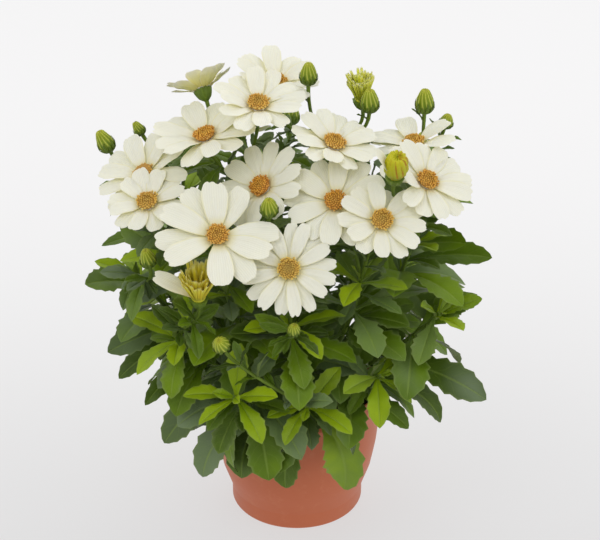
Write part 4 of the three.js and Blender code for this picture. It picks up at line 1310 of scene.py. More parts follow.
@dataclass(frozen=True)
class Leaf:
    """One placed leaf: its blade, its outline, its own number, its tone and the steps between its teeth."""

    blade: Blade
    kind: LeafKind
    part: int
    tone: float
    steps: int = 2

    fine_columns: ClassVar[tuple[float, ...]] = (-1, -0.82, -0.55, -0.28, -0.09, 0, 0.09, 0.28, 0.55, 0.82, 1)
    coarse_columns: ClassVar[tuple[float, ...]] = (-1, -0.62, -0.12, 0, 0.12, 0.62, 1)
    sunk: ClassVar[float] = 1.6

    def grow(self, draft: Draft) -> None:
        """Add the leaf to a draft: a midrib groove, quilted fields between veins and a wavy margin."""
        rows, half = (values[:, None] for values in self.kind.value.rows(self.steps))
        start = self.sunk / self.blade.length
        columns = np.array(self.fine_columns if self.steps > 1 else self.coarse_columns)
        share, u = np.broadcast_arrays(rows * (1 + start) - start, columns)
        out = np.abs(u)
        swell = np.sin(np.clip(share, 0, 1) * math.pi)
        quilt = 0.42 * np.abs(np.sin(12 * (share + 0.05 - 0.16 * out))) * np.sqrt(out * (1.02 - out)) * swell
        wave = 0.75 * np.sin(math.tau * (2.3 * share + chance(self.part, 11)) + 2.2 * np.sign(u))
        middle = quilt + wave * out ** 2 * swell
        groove = 0.35 * np.exp(-(u / 0.09) ** 2)
        thick = (0.2 + 0.75 * (1 - np.clip(share / 0.24, 0, 1)) ** 2) * (1 - out ** 2 * 0.7)
        edge = out == 1
        edge[-1] = True
        top = np.where(edge, middle, middle + thick - groove * swell)
        places = share + 0.02 * out ** 3 * swell, half * self.blade.wide / 2 * u
        upper = self.blade.spots(*places, top)
        under = self.blade.spots(*places, middle - thick - groove * (0.6 + 0.8 * (1 - rows)))
        draft.sheet(upper, under, np.clip(share, 0, 1), u, self.tone)


@dataclass(frozen=True)
class TierRule:
    """Length, rise, bend and spacing of the leaves of a tier, in millimetres and degrees."""

    length: float
    rise: float
    bend: float
    apart: float = 0.0


LOW_TIER = TierRule(60, 30, 82, 72)
HIGH_TIER = TierRule(52, 40, 40, 98)
TUFT = TierRule(36, 34, 34)


@dataclass(frozen=True)
class ExtraRule:
    """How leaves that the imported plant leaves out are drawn.

    tries is how many are drawn and kept how many stay at most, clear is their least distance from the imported
    solids, width is a share of the length, and the pairs are the ranges of their sizes and shades.
    """

    kind: LeafKind
    tries: int
    kept: int
    clear: float
    length: Pair
    rise: Pair
    bend: Pair
    width: float
    tone: Pair

    def leaf(self, part: int, stem: Array, tangent: Array) -> Leaf:
        """Return the leaf that is drawn for a number at a place on a stem.

        Args:
            part: The leaf's own number.
            stem: The middle of the stem where it grows.
            tangent: The stem's direction there.

        Returns:
            The leaf, which may have no room.
        """
        length = blend(*self.length, chance(part, 3))
        blade = Blade.sprouting(
            stem, STALK_LEAF_OFFSET, tangent, 360 * chance(part, 1), blend(*self.rise, chance(part, 2)),
            length, length * self.width, blend(*self.bend, chance(part, 4)), 0.1 + 0.2 * chance(part, 5),
            vary(part, 6, 25),
        )
        return Leaf(blade, self.kind, part, blend(*self.tone, chance(part, 7)), 1)


SHADE_LEAVES = ExtraRule(LeafKind.TOOTHED, 420, 19, 2.0, (24, 46), (-5, 65), (12, 75), 0.42, (0.02, 0.5))
STALK_LEAVES = ExtraRule(LeafKind.YOUNG, 120, 12, 1.2, (16, 38), (20, 62), (10, 60), 0.36, (0.0, 0.45))
HEART_LEAVES = ExtraRule(LeafKind.YOUNG, 30, 7, 0.7, (10, 19), (50, 84), (8, 40), 0.42, (0.66, 0.96))


@dataclass
class Level:
    """A height on a stem where leaves grow, and the sides of the stem that they take."""

    z: float
    sides: set[int] = field(default_factory=set)


@dataclass
class Growth:
    """The leaves of one shoot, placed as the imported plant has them."""

    shoot: Shoot
    points: PackedPoints
    levels: list[Level] = field(default_factory=list)
    leaves: list[Leaf] = field(default_factory=list)
    missing: int = 0

    def level_on(self, z: float) -> float:
        """Return the height of a level that is already near, or the height itself."""
        return next((level.z for level in self.levels if abs(level.z - z) < SAME_LEVEL), z)

    def side_toward(self, z: float, toward: Array) -> tuple[int, Array]:
        """Return the side of the stem that a leaf leaves toward a direction, and the way out of the stem.

        Args:
            z: The height of the leaf's root.
            toward: The direction.

        Returns:
            The side's number, and a direction at right angles to the stem.
        """
        tangent = self.shoot.tangent(z)
        across, aside = cross_axes(tangent)
        radial = squared(toward, tangent)
        step = math.tau / STEM_SIDES
        angle = math.atan2(radial.dot(aside), radial.dot(across))
        return math.floor((angle - STEM_TURN) / step + 2 * STEM_SIDES + 0.5) % STEM_SIDES, radial

    def add(self, z: float, blades: Sequence[Blade], kind: LeafKind, part: int, tone: float) -> None:
        """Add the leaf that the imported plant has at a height, if it has one.

        Args:
            z: The height of the root.
            blades: The blades that were tried in turn.
            kind: The leaf's outline.
            part: The leaf's own number.
            tone: Its age or shade.
        """
        level = next((level for level in self.levels if level.z == z), Level(z))
        blade = self.points.first(blade for blade in blades if blade.side not in level.sides)
        if blade is None:
            self.missing += 1
            return
        level.sides.add(blade.side)
        if level not in self.levels:
            self.levels.append(level)
        self.leaves.append(Leaf(blade, kind, part, tone))

    def add_outer(self, leaf: OuterLeaf, part: int) -> None:
        """Add a leaf of the plant's outline.

        Args:
            leaf: The leaf.
            part: Its own number.
        """
        z = self.level_on(leaf.root)
        stem = self.shoot.point(z)
        half = math.radians(leaf.bend) / 2
        blades = []
        for nudge in TIP_NUDGES:
            tip = np.array(leaf.tip, float) + nudge
            side, radial = self.side_toward(z, tip - stem)
            root = stem + radial * LEAF_ROOT_OFFSET
            chord = tip - root
            sideways = unit(np.cross((0.0, 0.0, 1.0), chord))
            ahead = unit(chord)
            along = ahead * math.cos(half) - np.cross(sideways, ahead) * math.sin(half)
            length = float(np.linalg.norm(chord)) * half / math.sin(half)
            blades.append(Blade(root, along, np.cross(along, sideways), length, leaf.wide, leaf.bend,
                                OUTER_LEAF_FOLD, leaf.roll, side))
        self.add(z, blades, LeafKind.LARGE, part, leaf.tone + vary(part, 12, 0.05))

    def blades_at(self, z: float, turn: float, rise: float, length: float, width: float,
                  *form: float) -> list[Blade]:
        """Return the blades that a leaf of a tier or a tuft tries in turn.

        Args:
            z: The height of the root.
            turn: The turn from the front that the leaf looks to.
            rise: Degrees above a right angle to the stem.
            length: Millimetres.
            width: The share of the length that the leaf is wide.
            form: Its bend, fold and roll.

        Returns:
            One blade for each try.
        """
        blades = []
        for aside, lift, scale in LEAF_TRIES:
            side, _ = self.side_toward(z, direction(turn + aside, 0))
            blades.append(Blade.sprouting(
                self.shoot.point(z), LEAF_ROOT_OFFSET, self.shoot.tangent(z), turn + aside, rise + lift,
                length * scale, length * width * scale, *form, side,
            ))
        return blades

    def add_tuft(self, number: int, i: int) -> None:
        """Add one of the young leaves that stand round the shoot's tip.

        Args:
            number: The shoot's number.
            i: The leaf's number in the tuft.
        """
        part = TUFT_DRAWS + number * DRAWS_EACH + i
        z = self.shoot.top[2] - TUFT_BELOW_TOP
        blades = self.blades_at(
            z,
            TUFT_TURN * number + 360 * i / self.shoot.tuft + vary(part, 3, 10),
            TUFT.rise + vary(part, 4, 12),
            TUFT.length * (1 + vary(part, 2, 0.18)),
            TUFT_LEAF_WIDTH,
            TUFT.bend + vary(part, 5, 14),
            TUFT_FOLD,
            vary(part, 7, 15),
        )
        self.add(z, blades, LeafKind.YOUNG, part, 0.66 + 0.3 * chance(part, 12))

    def add_tier(self, number: int, tier: int, k: int) -> None:
        """Add one leaf of a tier.

        Args:
            number: The shoot's number.
            tier: The tier, from the foot up.
            k: The leaf's number in it.
        """
        shoot = self.shoot
        part = TIER_DRAWS + number * DRAWS_EACH + tier * shoot.leaves + k
        lowest = max(LOWEST_LEAF, shoot.top[2] - LEAFY_LENGTH)
        climb = (tier + 0.4 * chance(part - k, 1)) / shoot.tiers
        z = self.level_on(blend(lowest, shoot.top[2] - TIER_BELOW_TOP, climb))
        height = clamp((z - LOWEST_LEAF) / (HIGHEST_LEAF - LOWEST_LEAF))
        apart = blend(LOW_TIER.apart, HIGH_TIER.apart, climb)
        outward = math.degrees(math.atan2(shoot.top[0], -shoot.top[1]))
        turn = outward + (k - (shoot.leaves - 1) / 2) * apart + TIER_TWIST * (tier % 2 - 0.5)
        blades = self.blades_at(
            z,
            turn + vary(part, 3, 10),
            blend(LOW_TIER.rise, HIGH_TIER.rise, height) + vary(part, 4, 12),
            blend(LOW_TIER.length, HIGH_TIER.length, height) * (1 + vary(part, 2, 0.14)),
            TIER_LEAF_WIDTH,
            blend(LOW_TIER.bend, HIGH_TIER.bend, height) + vary(part, 5, 14),
            0.12 + 0.16 * chance(part, 6),
            vary(part, 7, 24),
        )
        # Lower leaves get a darker tone, partly their age and partly painted shade from the foliage above
        # them.
        tone = 0.03 + 0.42 * height + 0.26 * chance(part, 12)
        self.add(z, blades, LeafKind.TOOTHED, part, tone)


@dataclass
class LeafyShoot:
    """One leafy stem with its stalks, cups and buds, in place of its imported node."""

    shoot: Shoot
    number: int
    sides: int = 10
    stem_step: float = 5.0
    stalk_rows: int = 14
    bud_sides: int = 48
    sepals: int = 12

    cup_rows: ClassVar[tuple[Pair, ...]] = (
        (1.15, -0.4), (2.6, 0.9), (4.3, 2.6), (5.4, 5.0), (6.2, 7.4), (6.35, 8.3),
    )
    cup_floor: ClassVar[tuple[Pair, ...]] = ((6.35, 8.3), (5.2, 8.5), (2.5, 8.6), (0.4, 8.6))
    bud_rows: ClassVar[tuple[Pair, ...]] = (
        (0.45, 0.03), (0.82, 0.14), (0.97, 0.28), (0.96, 0.42), (0.87, 0.58), (0.71, 0.74), (0.54, 0.88),
        (0.39, 0.95), (0.29, 0.95), (0.05, 0.89),
    )

    @cached_property
    def flowers(self) -> list[Flower]:
        """Return the blooms, brushes and buds that the shoot bears."""
        return [flower for flower in (*BLOOMS, *BRUSHES, *BUDS) if flower.shoot == self.shoot.name]

    def curve(self, flower: Flower) -> tuple[list[Array], list[Array]]:
        """Return the middles and tangents of a flower's stalk.

        Args:
            flower: What the stalk ends in.

        Returns:
            The points of its curve and the directions there.
        """
        end, out = flower.stalk_end, flower.axes.out
        fork = self.shoot.point(self.shoot.top[2] - FORK_DROP)
        rise = unit(self.shoot.point(self.shoot.top[2]) - fork)
        reach = float(np.linalg.norm(end - fork)) * STALK_REACH
        a, b, c, d = fork, fork + rise * reach, end - out * reach, end
        path, tangents = [], []
        for t in np.linspace(0, 1, self.stalk_rows):
            s = 1 - t
            path.append(a * s ** 3 + b * 3 * s * s * t + c * 3 * s * t * t + d * t ** 3)
            tangents.append(unit((b - a) * s * s + (c - b) * 2 * s * t + (d - c) * t * t))
        return path, tangents

    def stalk(self, draft: Draft, flower: Flower) -> None:
        """Add a flower's stalk, which thickens a little at both ends."""
        shares = np.linspace(0, 1, self.stalk_rows)
        radii = STALK_RADIUS * (1 + 0.25 * (1 - shares) ** 3 + 0.3 * shares ** 6)
        draft.rod(*self.curve(flower), radii, STALK_SIDES, 0.55, Layer.SECOND)

    def cup(self, draft: Draft, flower: Flower) -> None:
        """Add the green cup of a flower, with the pointed ends of its sepals."""
        about = flower.stalk_end, flower.axes
        draft.turned(*about, self.cup_rows, self.bud_sides, 0.4, Layer.SECOND, Pleats(self.sepals, 0.07, 0.9))
        draft.turned(*about, self.cup_floor, self.bud_sides, 0.3, Layer.SECOND)

    def bud(self, draft: Draft, bud: Bud) -> None:
        """Add a closed bud: pleated petals inside a ring of long pointed sepals.

        Args:
            draft: The draft to add to.
            bud: The bud.
        """
        rows = [(bud.wide / 2 * r, bud.long * h) for r, h in self.bud_rows]
        draft.turned(bud.place, bud.axes, rows, self.bud_sides, 0.05, Layer.THIRD,
                     Pleats(self.sepals, 0.07, 0.9, 0.9))
        for i in range(self.sepals):
            self.sepal(draft, bud, i)

    def sepal(self, draft: Draft, bud: Bud, i: int) -> None:
        """Add one narrow sepal that lies on a bud and ends in a point.

        Args:
            draft: The draft to add to.
            bud: The bud.
            i: The sepal's number.
        """
        wide = bud.wide / 2
        reach = 0.42 + 0.14 * (i % 2)
        heights = np.array((0.0, 0.1, 0.22, 0.36, 0.5, 0.64, 0.8, 1.0))[:, None] * reach
        hug = np.interp(heights, (0, 0.03, 0.14, 0.28, 0.42, 0.58, 0.74, 0.88, 1),
                        (0.3, 0.5, 0.86, 1.02, 1.01, 0.89, 0.71, 0.52, 0.35))
        halves = np.array((0.5, 0.75, 0.95, 1.0, 0.92, 0.75, 0.45, 0.0))[:, None]
        halves = halves * wide * math.pi / self.sepals
        heights, columns = np.broadcast_arrays(heights, (-1.0, 0.0, 1.0))
        radius = wide * hug
        turn = math.tau * (i + 0.5) / self.sepals + columns * (halves * 0.82) / np.maximum(radius, 0.5)
        upper, under = (
            bud.axes.about(bud.place, radius + lift * (1 - columns ** 2 * 0.8) + 0.12, turn,
                           heights * bud.long)
            for lift in (0.42, 0.05)
        )
        draft.sheet(upper, under, heights / reach, columns, 0.5, Layer.SECOND)

    def stem(self, draft: Draft, levels: Iterable[Level]) -> None:
        """Add the stem, a little thicker where leaves grow.

        Args:
            draft: The draft to add to.
            levels: Where the leaves grow.
        """
        top = self.shoot.top[2]
        heights = np.linspace(STEM_FOOT_Z, top, int((top - STEM_FOOT_Z) / self.stem_step) + 1)
        knots = [level.z for level in levels]
        path = [self.shoot.point(z) for z in heights]
        tangents = [self.shoot.tangent(z) for z in heights]
        radii = []
        for z in heights:
            swell = max((math.exp(-((z - knot) / 3) ** 2) for knot in knots), default=0)
            radii.append(self.shoot.radius(z) * (1 + 0.12 * swell))
        draft.rod(path, tangents, radii, self.sides, 0.45, Layer.SECOND)

    def growth(self) -> Growth:
        """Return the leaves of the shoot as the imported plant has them."""
        grown = Growth(self.shoot, PackedPoints(f"shoot_{self.shoot.name}"))
        for i, leaf in enumerate(OUTER_LEAVES):
            if leaf.shoot == self.shoot.name:
                grown.add_outer(leaf, i)
        for i in range(self.shoot.tuft):
            grown.add_tuft(self.number, i)
        for tier in reversed(range(self.shoot.tiers)):
            for k in range(self.shoot.leaves):
                grown.add_tier(self.number, tier, k)
        return grown

    def bracts(self) -> list[Leaf]:
        """Return the small leaves that are given one by one on the stalks of buds."""
        found = []
        for i, (bud, step, turn, rise, length, wide) in enumerate(BRACTS):
            if BUDS[bud - 1] in self.flowers:
                path, tangents = self.curve(BUDS[bud - 1])
                blade = Blade.sprouting(path[step], STALK_LEAF_OFFSET, tangents[step], turn, rise, length,
                                        wide, 24, 0.3, vary(i, 30, 20))
                found.append(Leaf(blade, LeafKind.YOUNG, i, 0.12 + 0.2 * chance(i, 31), 1))
        return found

    def extras(self, crowd: Crowd) -> list[Leaf]:
        """Return the leaves that fill the shoot: round its tip, in its shade and on its flower stalks.

        Args:
            crowd: What the leaves stay clear of.

        Returns:
            The leaves that have room.
        """
        found: list[Leaf] = []
        top = self.shoot.top[2]

        def tried(rule: ExtraRule, start: int, place: Callable[[float], tuple[Array, Array]]) -> None:
            """Try the leaves of a rule until enough of them stand.

            Args:
                rule: The rule.
                start: The number of the first leaf.
                place: Gives a place on a stem and its direction there for a share.
            """
            kept = 0
            for part in range(start, start + rule.tries):
                leaf = rule.leaf(part, *place(chance(part, 8)))
                if crowd.admits(leaf.blade, rule.clear):
                    found.append(leaf)
                    kept += 1
                if kept == rule.kept:
                    break

        def on_stem(share: float) -> tuple[Array, Array]:
            """Return a place on the leafy part of the stem and the stem's direction there."""
            z = blend(LOWEST_LEAF - 6, top - 4, share)
            return self.shoot.point(z), self.shoot.tangent(z)

        tip = self.shoot.point(top - 1), self.shoot.tangent(top - 1)
        tried(HEART_LEAVES, HEART_DRAWS + 100 * self.number, lambda _: tip)
        tried(SHADE_LEAVES, SHADE_DRAWS + 500 * self.number, on_stem)
        for k, flower in enumerate(self.flowers):
            steps = list(zip(*self.curve(flower)))[1:-3]
            tried(STALK_LEAVES, STALK_DRAWS + 1000 * self.number + 100 * k,
                  lambda share: steps[int(share * len(steps))])
        return found

    def build(self, finishes: Finishes, crowd: Crowd) -> None:
        """Build the shoot.

        Args:
            finishes: The materials.
            crowd: What its further leaves stay clear of.
        """
        draft = Draft()
        grown = self.growth()
        further = [*self.bracts(), *self.extras(crowd)]
        for leaf in (*grown.leaves, *further):
            leaf.grow(draft)
        self.stem(draft, grown.levels)
        for flower in self.flowers:
            self.stalk(draft, flower)
            if isinstance(flower, Bud):
                self.bud(draft, flower)
            else:
                self.cup(draft, flower)
        piece = draft.build(f"leafy_{self.shoot.name}", (finishes.leaf, finishes.stem, finishes.bud))
        declare(piece, "leaf", f"shoot_{self.shoot.name}")
        log.info("%s: %d leaves, %d left out, %d added", self.shoot.name, len(grown.leaves), grown.missing,
                 len(further))


@dataclass(frozen=True)
class Petal:
    """One ray petal: a round toothed tip, two lengthwise grooves and a soft wave."""

    blade: Blade
    part: int
    rows: int = 17
    thick: float = 0.5
    sunk: float = 1.2
    round_end: float = 0.29

    columns: ClassVar[Array] = np.array([k / 6 for k in range(-6, 7)])
    places: ClassVar[tuple[float, ...]] = (0, 0.1, 0.25, 0.42, 0.6, 0.8, 1)
    widths: ClassVar[tuple[float, ...]] = (0.36, 0.54, 0.82, 1.0, 1.09, 1.1, 1.04)

    def ends(self, u: Array) -> Array:
        """Return the share of the length at which each column ends."""
        notch = 0.065 * chance(self.part, 14) * np.exp(-((u - vary(self.part, 19, 0.25)) / 0.16) ** 2)
        teeth = 0.03 * chance(self.part, 21) * np.exp(-((np.abs(u) - 1 / 3) / 0.1) ** 2)
        lean = vary(self.part, 20, 0.075) * u
        return np.minimum(1.01 - self.round_end * (1 - np.sqrt(1 - u ** 2)) + lean, 0.98) - notch - teeth

    def grow(self, draft: Draft) -> None:
        """Add the petal to a draft."""
        part, u = self.part, self.columns
        start = self.sunk / self.blade.length
        share = (1 - (1 - np.linspace(0, 1, self.rows)) ** 1.25)[:, None] * (self.ends(u) + start) - start
        length = np.clip(share, 0, 1)
        across = np.interp(length, self.places, self.widths) * self.blade.wide / 2 * u
        swell = np.sin(length * math.pi) ** 0.7
        grooves = np.exp(-((np.abs(u) - 1 / 3) / 0.13) ** 2)
        cup = vary(part, 15, 0.5) * u ** 2 * swell
        curl = (0.5 + vary(part, 16, 1.1)) * np.clip(share - 0.7, 0, 1) ** 2 * 9
        ripple = 0.35 * np.sin(math.tau * (1.7 * share + chance(part, 17))) * u
        middle = -0.34 * grooves * swell + cup + curl * 0.5 + ripple * swell
        thick = self.thick / 2 * (1 - 0.6 * u ** 2) * (1.3 - 0.6 * share)
        draft.blade(self.blade, share, across, middle, thick, u, chance(part, 18))


@dataclass
class PetalRing:
    """The petals of one bloom, in place of its packed ring."""

    bloom: Bloom
    hub: tuple[Pair, ...] = (
        (0.3, -0.75), (4.6, -0.75), (5.9, -0.45), (6.3, 0.0), (5.9, 0.5), (4.6, 0.8), (0.3, 0.8),
    )

    def layer(self, i: int) -> int:
        """Return whether a petal stands in the upper or the lower layer."""
        last = i == self.bloom.petals - 1
        return 0 if last and i % 2 == 0 else 2 * (i % 2) - 1

    def angle(self, i: int) -> float:
        """Return the angle of a petal's place round the bloom."""
        return math.radians(360 * (i + 0.5 * chance(self.bloom.number, 9)) / self.bloom.petals)

    def blades(self, i: int) -> Iterable[Blade]:
        """Yield the blades that a petal tries in turn.

        Args:
            i: The petal's number.

        Yields:
            One blade for each try.
        """
        bloom = self.bloom
        part = bloom.number * DRAWS_EACH + i
        radial = bloom.axes.across(self.angle(i) + math.radians(vary(part, 1, 2.5)))
        bend = PETAL_BEND + vary(part, 3, 9)
        layer = self.layer(i)
        root = bloom.place + radial * HUB_RADIUS + bloom.axes.out * layer * LAYER_STEP
        for lift, scale in PETAL_TRIES:
            yield Blade(root, *bloom.axes.rising(radial, bloom.rise + layer * LAYER_TILT + lift + bend / 2),
                        (bloom.radius - HUB_RADIUS) * (1 + vary(part, 2, 0.06)) * scale,
                        bloom.wide * (1 + vary(part, 4, 0.08)), bend, UPPER_FOLD if layer > 0 else LOWER_FOLD,
                        vary(part, 6, 6))

    def build(self, finishes: Finishes) -> None:
        """Build the ring with the hub that its petals grow from.

        Args:
            finishes: The materials.
        """
        bloom = self.bloom
        points = PackedPoints(f"{bloom.name}_petals")
        draft = Draft()
        for i in range(bloom.petals):
            blade = None if i in bloom.fallen else points.first(self.blades(i))
            if blade is not None:
                Petal(blade, bloom.number * DRAWS_EACH + i).grow(draft)
        draft.turned(bloom.place, bloom.axes, self.hub, HUB_SIDES, 0.5)
        declare(draft.build(f"{bloom.name}_ray_petals", (finishes.petal,)), "petals", f"{bloom.name}_petals")


@dataclass
class StrapRing:
    """The upright straps of an opening or closing bloom, in place of its packed ring."""

    brush: Brush
    rows: int = 10
    inner: int = 34
    strands: int = 3
    sides: int = 66
    hub: tuple[Pair, ...] = ((0.3, -1.0), (4.4, -1.0), (4.9, 0.0), (4.4, 1.2), (0.3, 1.6))
    rolled: tuple[Pair, ...] = (
        (0.5, -0.06), (0.8, 0.1), (0.98, 0.28), (1.0, 0.46), (0.95, 0.64), (0.86, 0.82), (0.74, 0.95),
        (0.62, 0.99), (0.35, 0.94), (0.05, 0.9),
    )

    def blades(self, i: float, flare: float, scale: float) -> Iterable[Blade]:
        """Yield the blades that a strap tries in turn.

        Args:
            i: The strap's number, or a place between two of them.
            flare: Degrees that it leans out.
            scale: The share of its full length.

        Yields:
            One blade for each try.
        """
        brush = self.brush
        part = STRAP_DRAWS + brush.number * DRAWS_EACH + i
        radial = brush.axes.across(math.tau * i / brush.straps)
        root = brush.place + radial * BRUSH_HUB_RADIUS
        for lean in STRAP_TRIES:
            yield Blade(root, *brush.axes.rising(radial, 90 - flare + lean),
                        brush.tall * (1 + vary(part, 2, 0.1)) * scale, brush.wide, STRAP_BEND, STRAP_FOLD, 0)

    def strap(self, draft: Draft, blade: Blade, part: int) -> None:
        """Add one strap with a toothed tip.

        Args:
            draft: The draft to add to.
            blade: The strap's blade.
            part: Its own number.
        """
        u = np.array((-1.0, -0.5, 0.0, 0.5, 1.0))
        share = np.linspace(0, 1, self.rows)[:, None] * (1 - 0.05 * np.abs(np.sin(u * math.pi)))
        across = np.interp(share, (0, 0.25, 0.6, 0.9, 1), (0.55, 0.8, 1, 1, 0.7)) * blade.wide / 2 * u
        middle = 0.5 * u ** 2 + 0.5 * np.sin(3 * share + 6 * chance(part, 3)) * share
        tone = clamp(self.brush.warmth + vary(part, 4, 0.2))
        draft.blade(blade, share, across, middle, 0.24 * (1 - 0.6 * u ** 2), u, tone)

    def split(self, draft: Draft, blade: Blade, part: int) -> None:
        """Add the narrow strands that a strap is split into.

        Args:
            draft: The draft to add to.
            blade: The strap's blade.
            part: Its own number.
        """
        side = np.cross(blade.along, blade.up)
        for k in range(self.strands):
            aside = 2 * k / (self.strands - 1) - 1
            along = unit(blade.along + side * aside * 0.07)
            strand = replace(blade, root=blade.root + side * aside * blade.wide * 0.3, along=along,
                             wide=blade.wide * 0.52, length=blade.length * (1 - 0.14 * chance(part, k)))
            self.strap(draft, strand, part + 100 * k)

    def straps(self, draft: Draft) -> None:
        """Add the outer straps, split into strands, and the small inner ones on a spiral."""
        brush = self.brush
        points = PackedPoints(f"{brush.name}_petals")
        for i in range(brush.straps):
            blade = points.first(self.blades(i, (INNER_FLARE if i % 2 else 1) * brush.flare, 1.0))
            if blade is not None:
                self.split(draft, blade, i)
        for i in range(self.inner):
            out = math.sqrt((i + 0.5) / self.inner)
            place = GOLDEN_ANGLE / 360 * brush.straps * i
            blade = next(iter(self.blades(place, brush.flare * out, 0.76 + 0.24 * chance(i, 6))))
            inward = (blade.root - brush.place) * (1 - out)
            self.strap(draft, replace(blade, root=blade.root - inward, wide=blade.wide * 0.66), i + 40)

    def rays(self, finishes: Finishes) -> None:
        """Build the open petals as a piece of their own."""
        brush = self.brush
        draft = Draft()
        for i, (angle, rise, length, wide) in enumerate(brush.rays):
            radial = brush.axes.across(math.radians(angle))
            root = brush.place + radial * BRUSH_HUB_RADIUS * 0.8
            way = brush.axes.rising(radial, rise + PETAL_BEND / 2)
            Petal(Blade(root, *way, length, wide, PETAL_BEND, 0.1, 4), STRAP_DRAWS + i).grow(draft)
        declare(draft.build(f"{brush.name}_ray_petals", (finishes.petal,)), "petals")

    def build(self, finishes: Finishes) -> None:
        """Build the ring with its hub, or the rolled-up petals of a bloom that has only begun to open.

        Args:
            finishes: The materials.
        """
        brush = self.brush
        draft = Draft()
        if brush.body:
            rows = [(brush.body * r, brush.tall * h) for r, h in self.rolled]
            pleats = Pleats(11, 0.09, 2.4, 1.1)
            draft.turned(brush.place, brush.axes, rows, self.sides, 0.9, Layer.SECOND, pleats)
        else:
            self.straps(draft)
        draft.turned(brush.place, brush.axes, self.hub, HUB_SIDES, 0.5)
        piece = draft.build(f"{brush.name}_straps", (finishes.strap, finishes.bud))
        declare(piece, "straps", f"{brush.name}_petals")
        if brush.rays:
            self.rays(finishes)


class GeometryTree:
    """A tree of geometry nodes with named inputs, used once or more and then applied."""

    def __init__(self, name: str, **inputs: Any) -> None:
        """Start a tree.

        Args:
            name: The tree's name.
            inputs: The name and value of each input. A whole number makes an integer input.
        """
        self.tree = bpy.data.node_groups.new(name, "GeometryNodeTree")
        face = self.tree.interface
        face.new_socket("Geometry", in_out="INPUT", socket_type="NodeSocketGeometry")
        face.new_socket("Geometry", in_out="OUTPUT", socket_type="NodeSocketGeometry")
        self.sockets: dict[str, str] = {}
        for label, value in inputs.items():
            kind = "NodeSocketInt" if isinstance(value, int) else "NodeSocketFloat"
            socket = face.new_socket(label, in_out="INPUT", socket_type=kind)
            socket.default_value = value
            self.sockets[label] = socket.identifier
        self.w = Wiring(self.tree)
        self.given = self.w.add("NodeGroupInput").outputs

    def end(self, finish: Material, points: Socket, instance: Socket, turn: Socket, size: Socket) -> None:
        """End the tree: copy an instance to points, make the copies real and set their material.

        Args:
            finish: The material.
            points: The points.
            instance: What is copied.
            turn: The turn of each copy.
            size: The size of each copy.
        """
        copies = self.w.add("GeometryNodeInstanceOnPoints", {
            "Points": points, "Instance": instance, "Rotation": turn, "Scale": size,
        })
        real = self.w.add("GeometryNodeRealizeInstances", {0: copies.outputs[0]})
        dressed = self.w.add("GeometryNodeSetMaterial", {"Geometry": real.outputs[0], "Material": finish})
        self.w.add("NodeGroupOutput", {0: dressed.outputs[0]})

    def apply(self, carrier: Piece, **values: Any) -> Mesh:
        """Run the tree on an object and return the plain mesh.

        Args:
            carrier: The object that the tree runs on. It is removed.
            values: Values for the inputs, by name.

        Returns:
            A mesh of its own.
        """
        modifier = carrier.modifiers.new(self.tree.name, "NODES")
        modifier.node_group = self.tree
        for label, value in values.items():
            modifier[self.sockets[label]] = value
        mesh = evaluated(carrier)
        bpy.data.objects.remove(carrier)
        return mesh


def evaluated(piece: Piece) -> Mesh:
    """Return a plain mesh of an object with its modifiers."""
    return bpy.data.meshes.new_from_object(piece.evaluated_get(bpy.context.evaluated_depsgraph_get()))


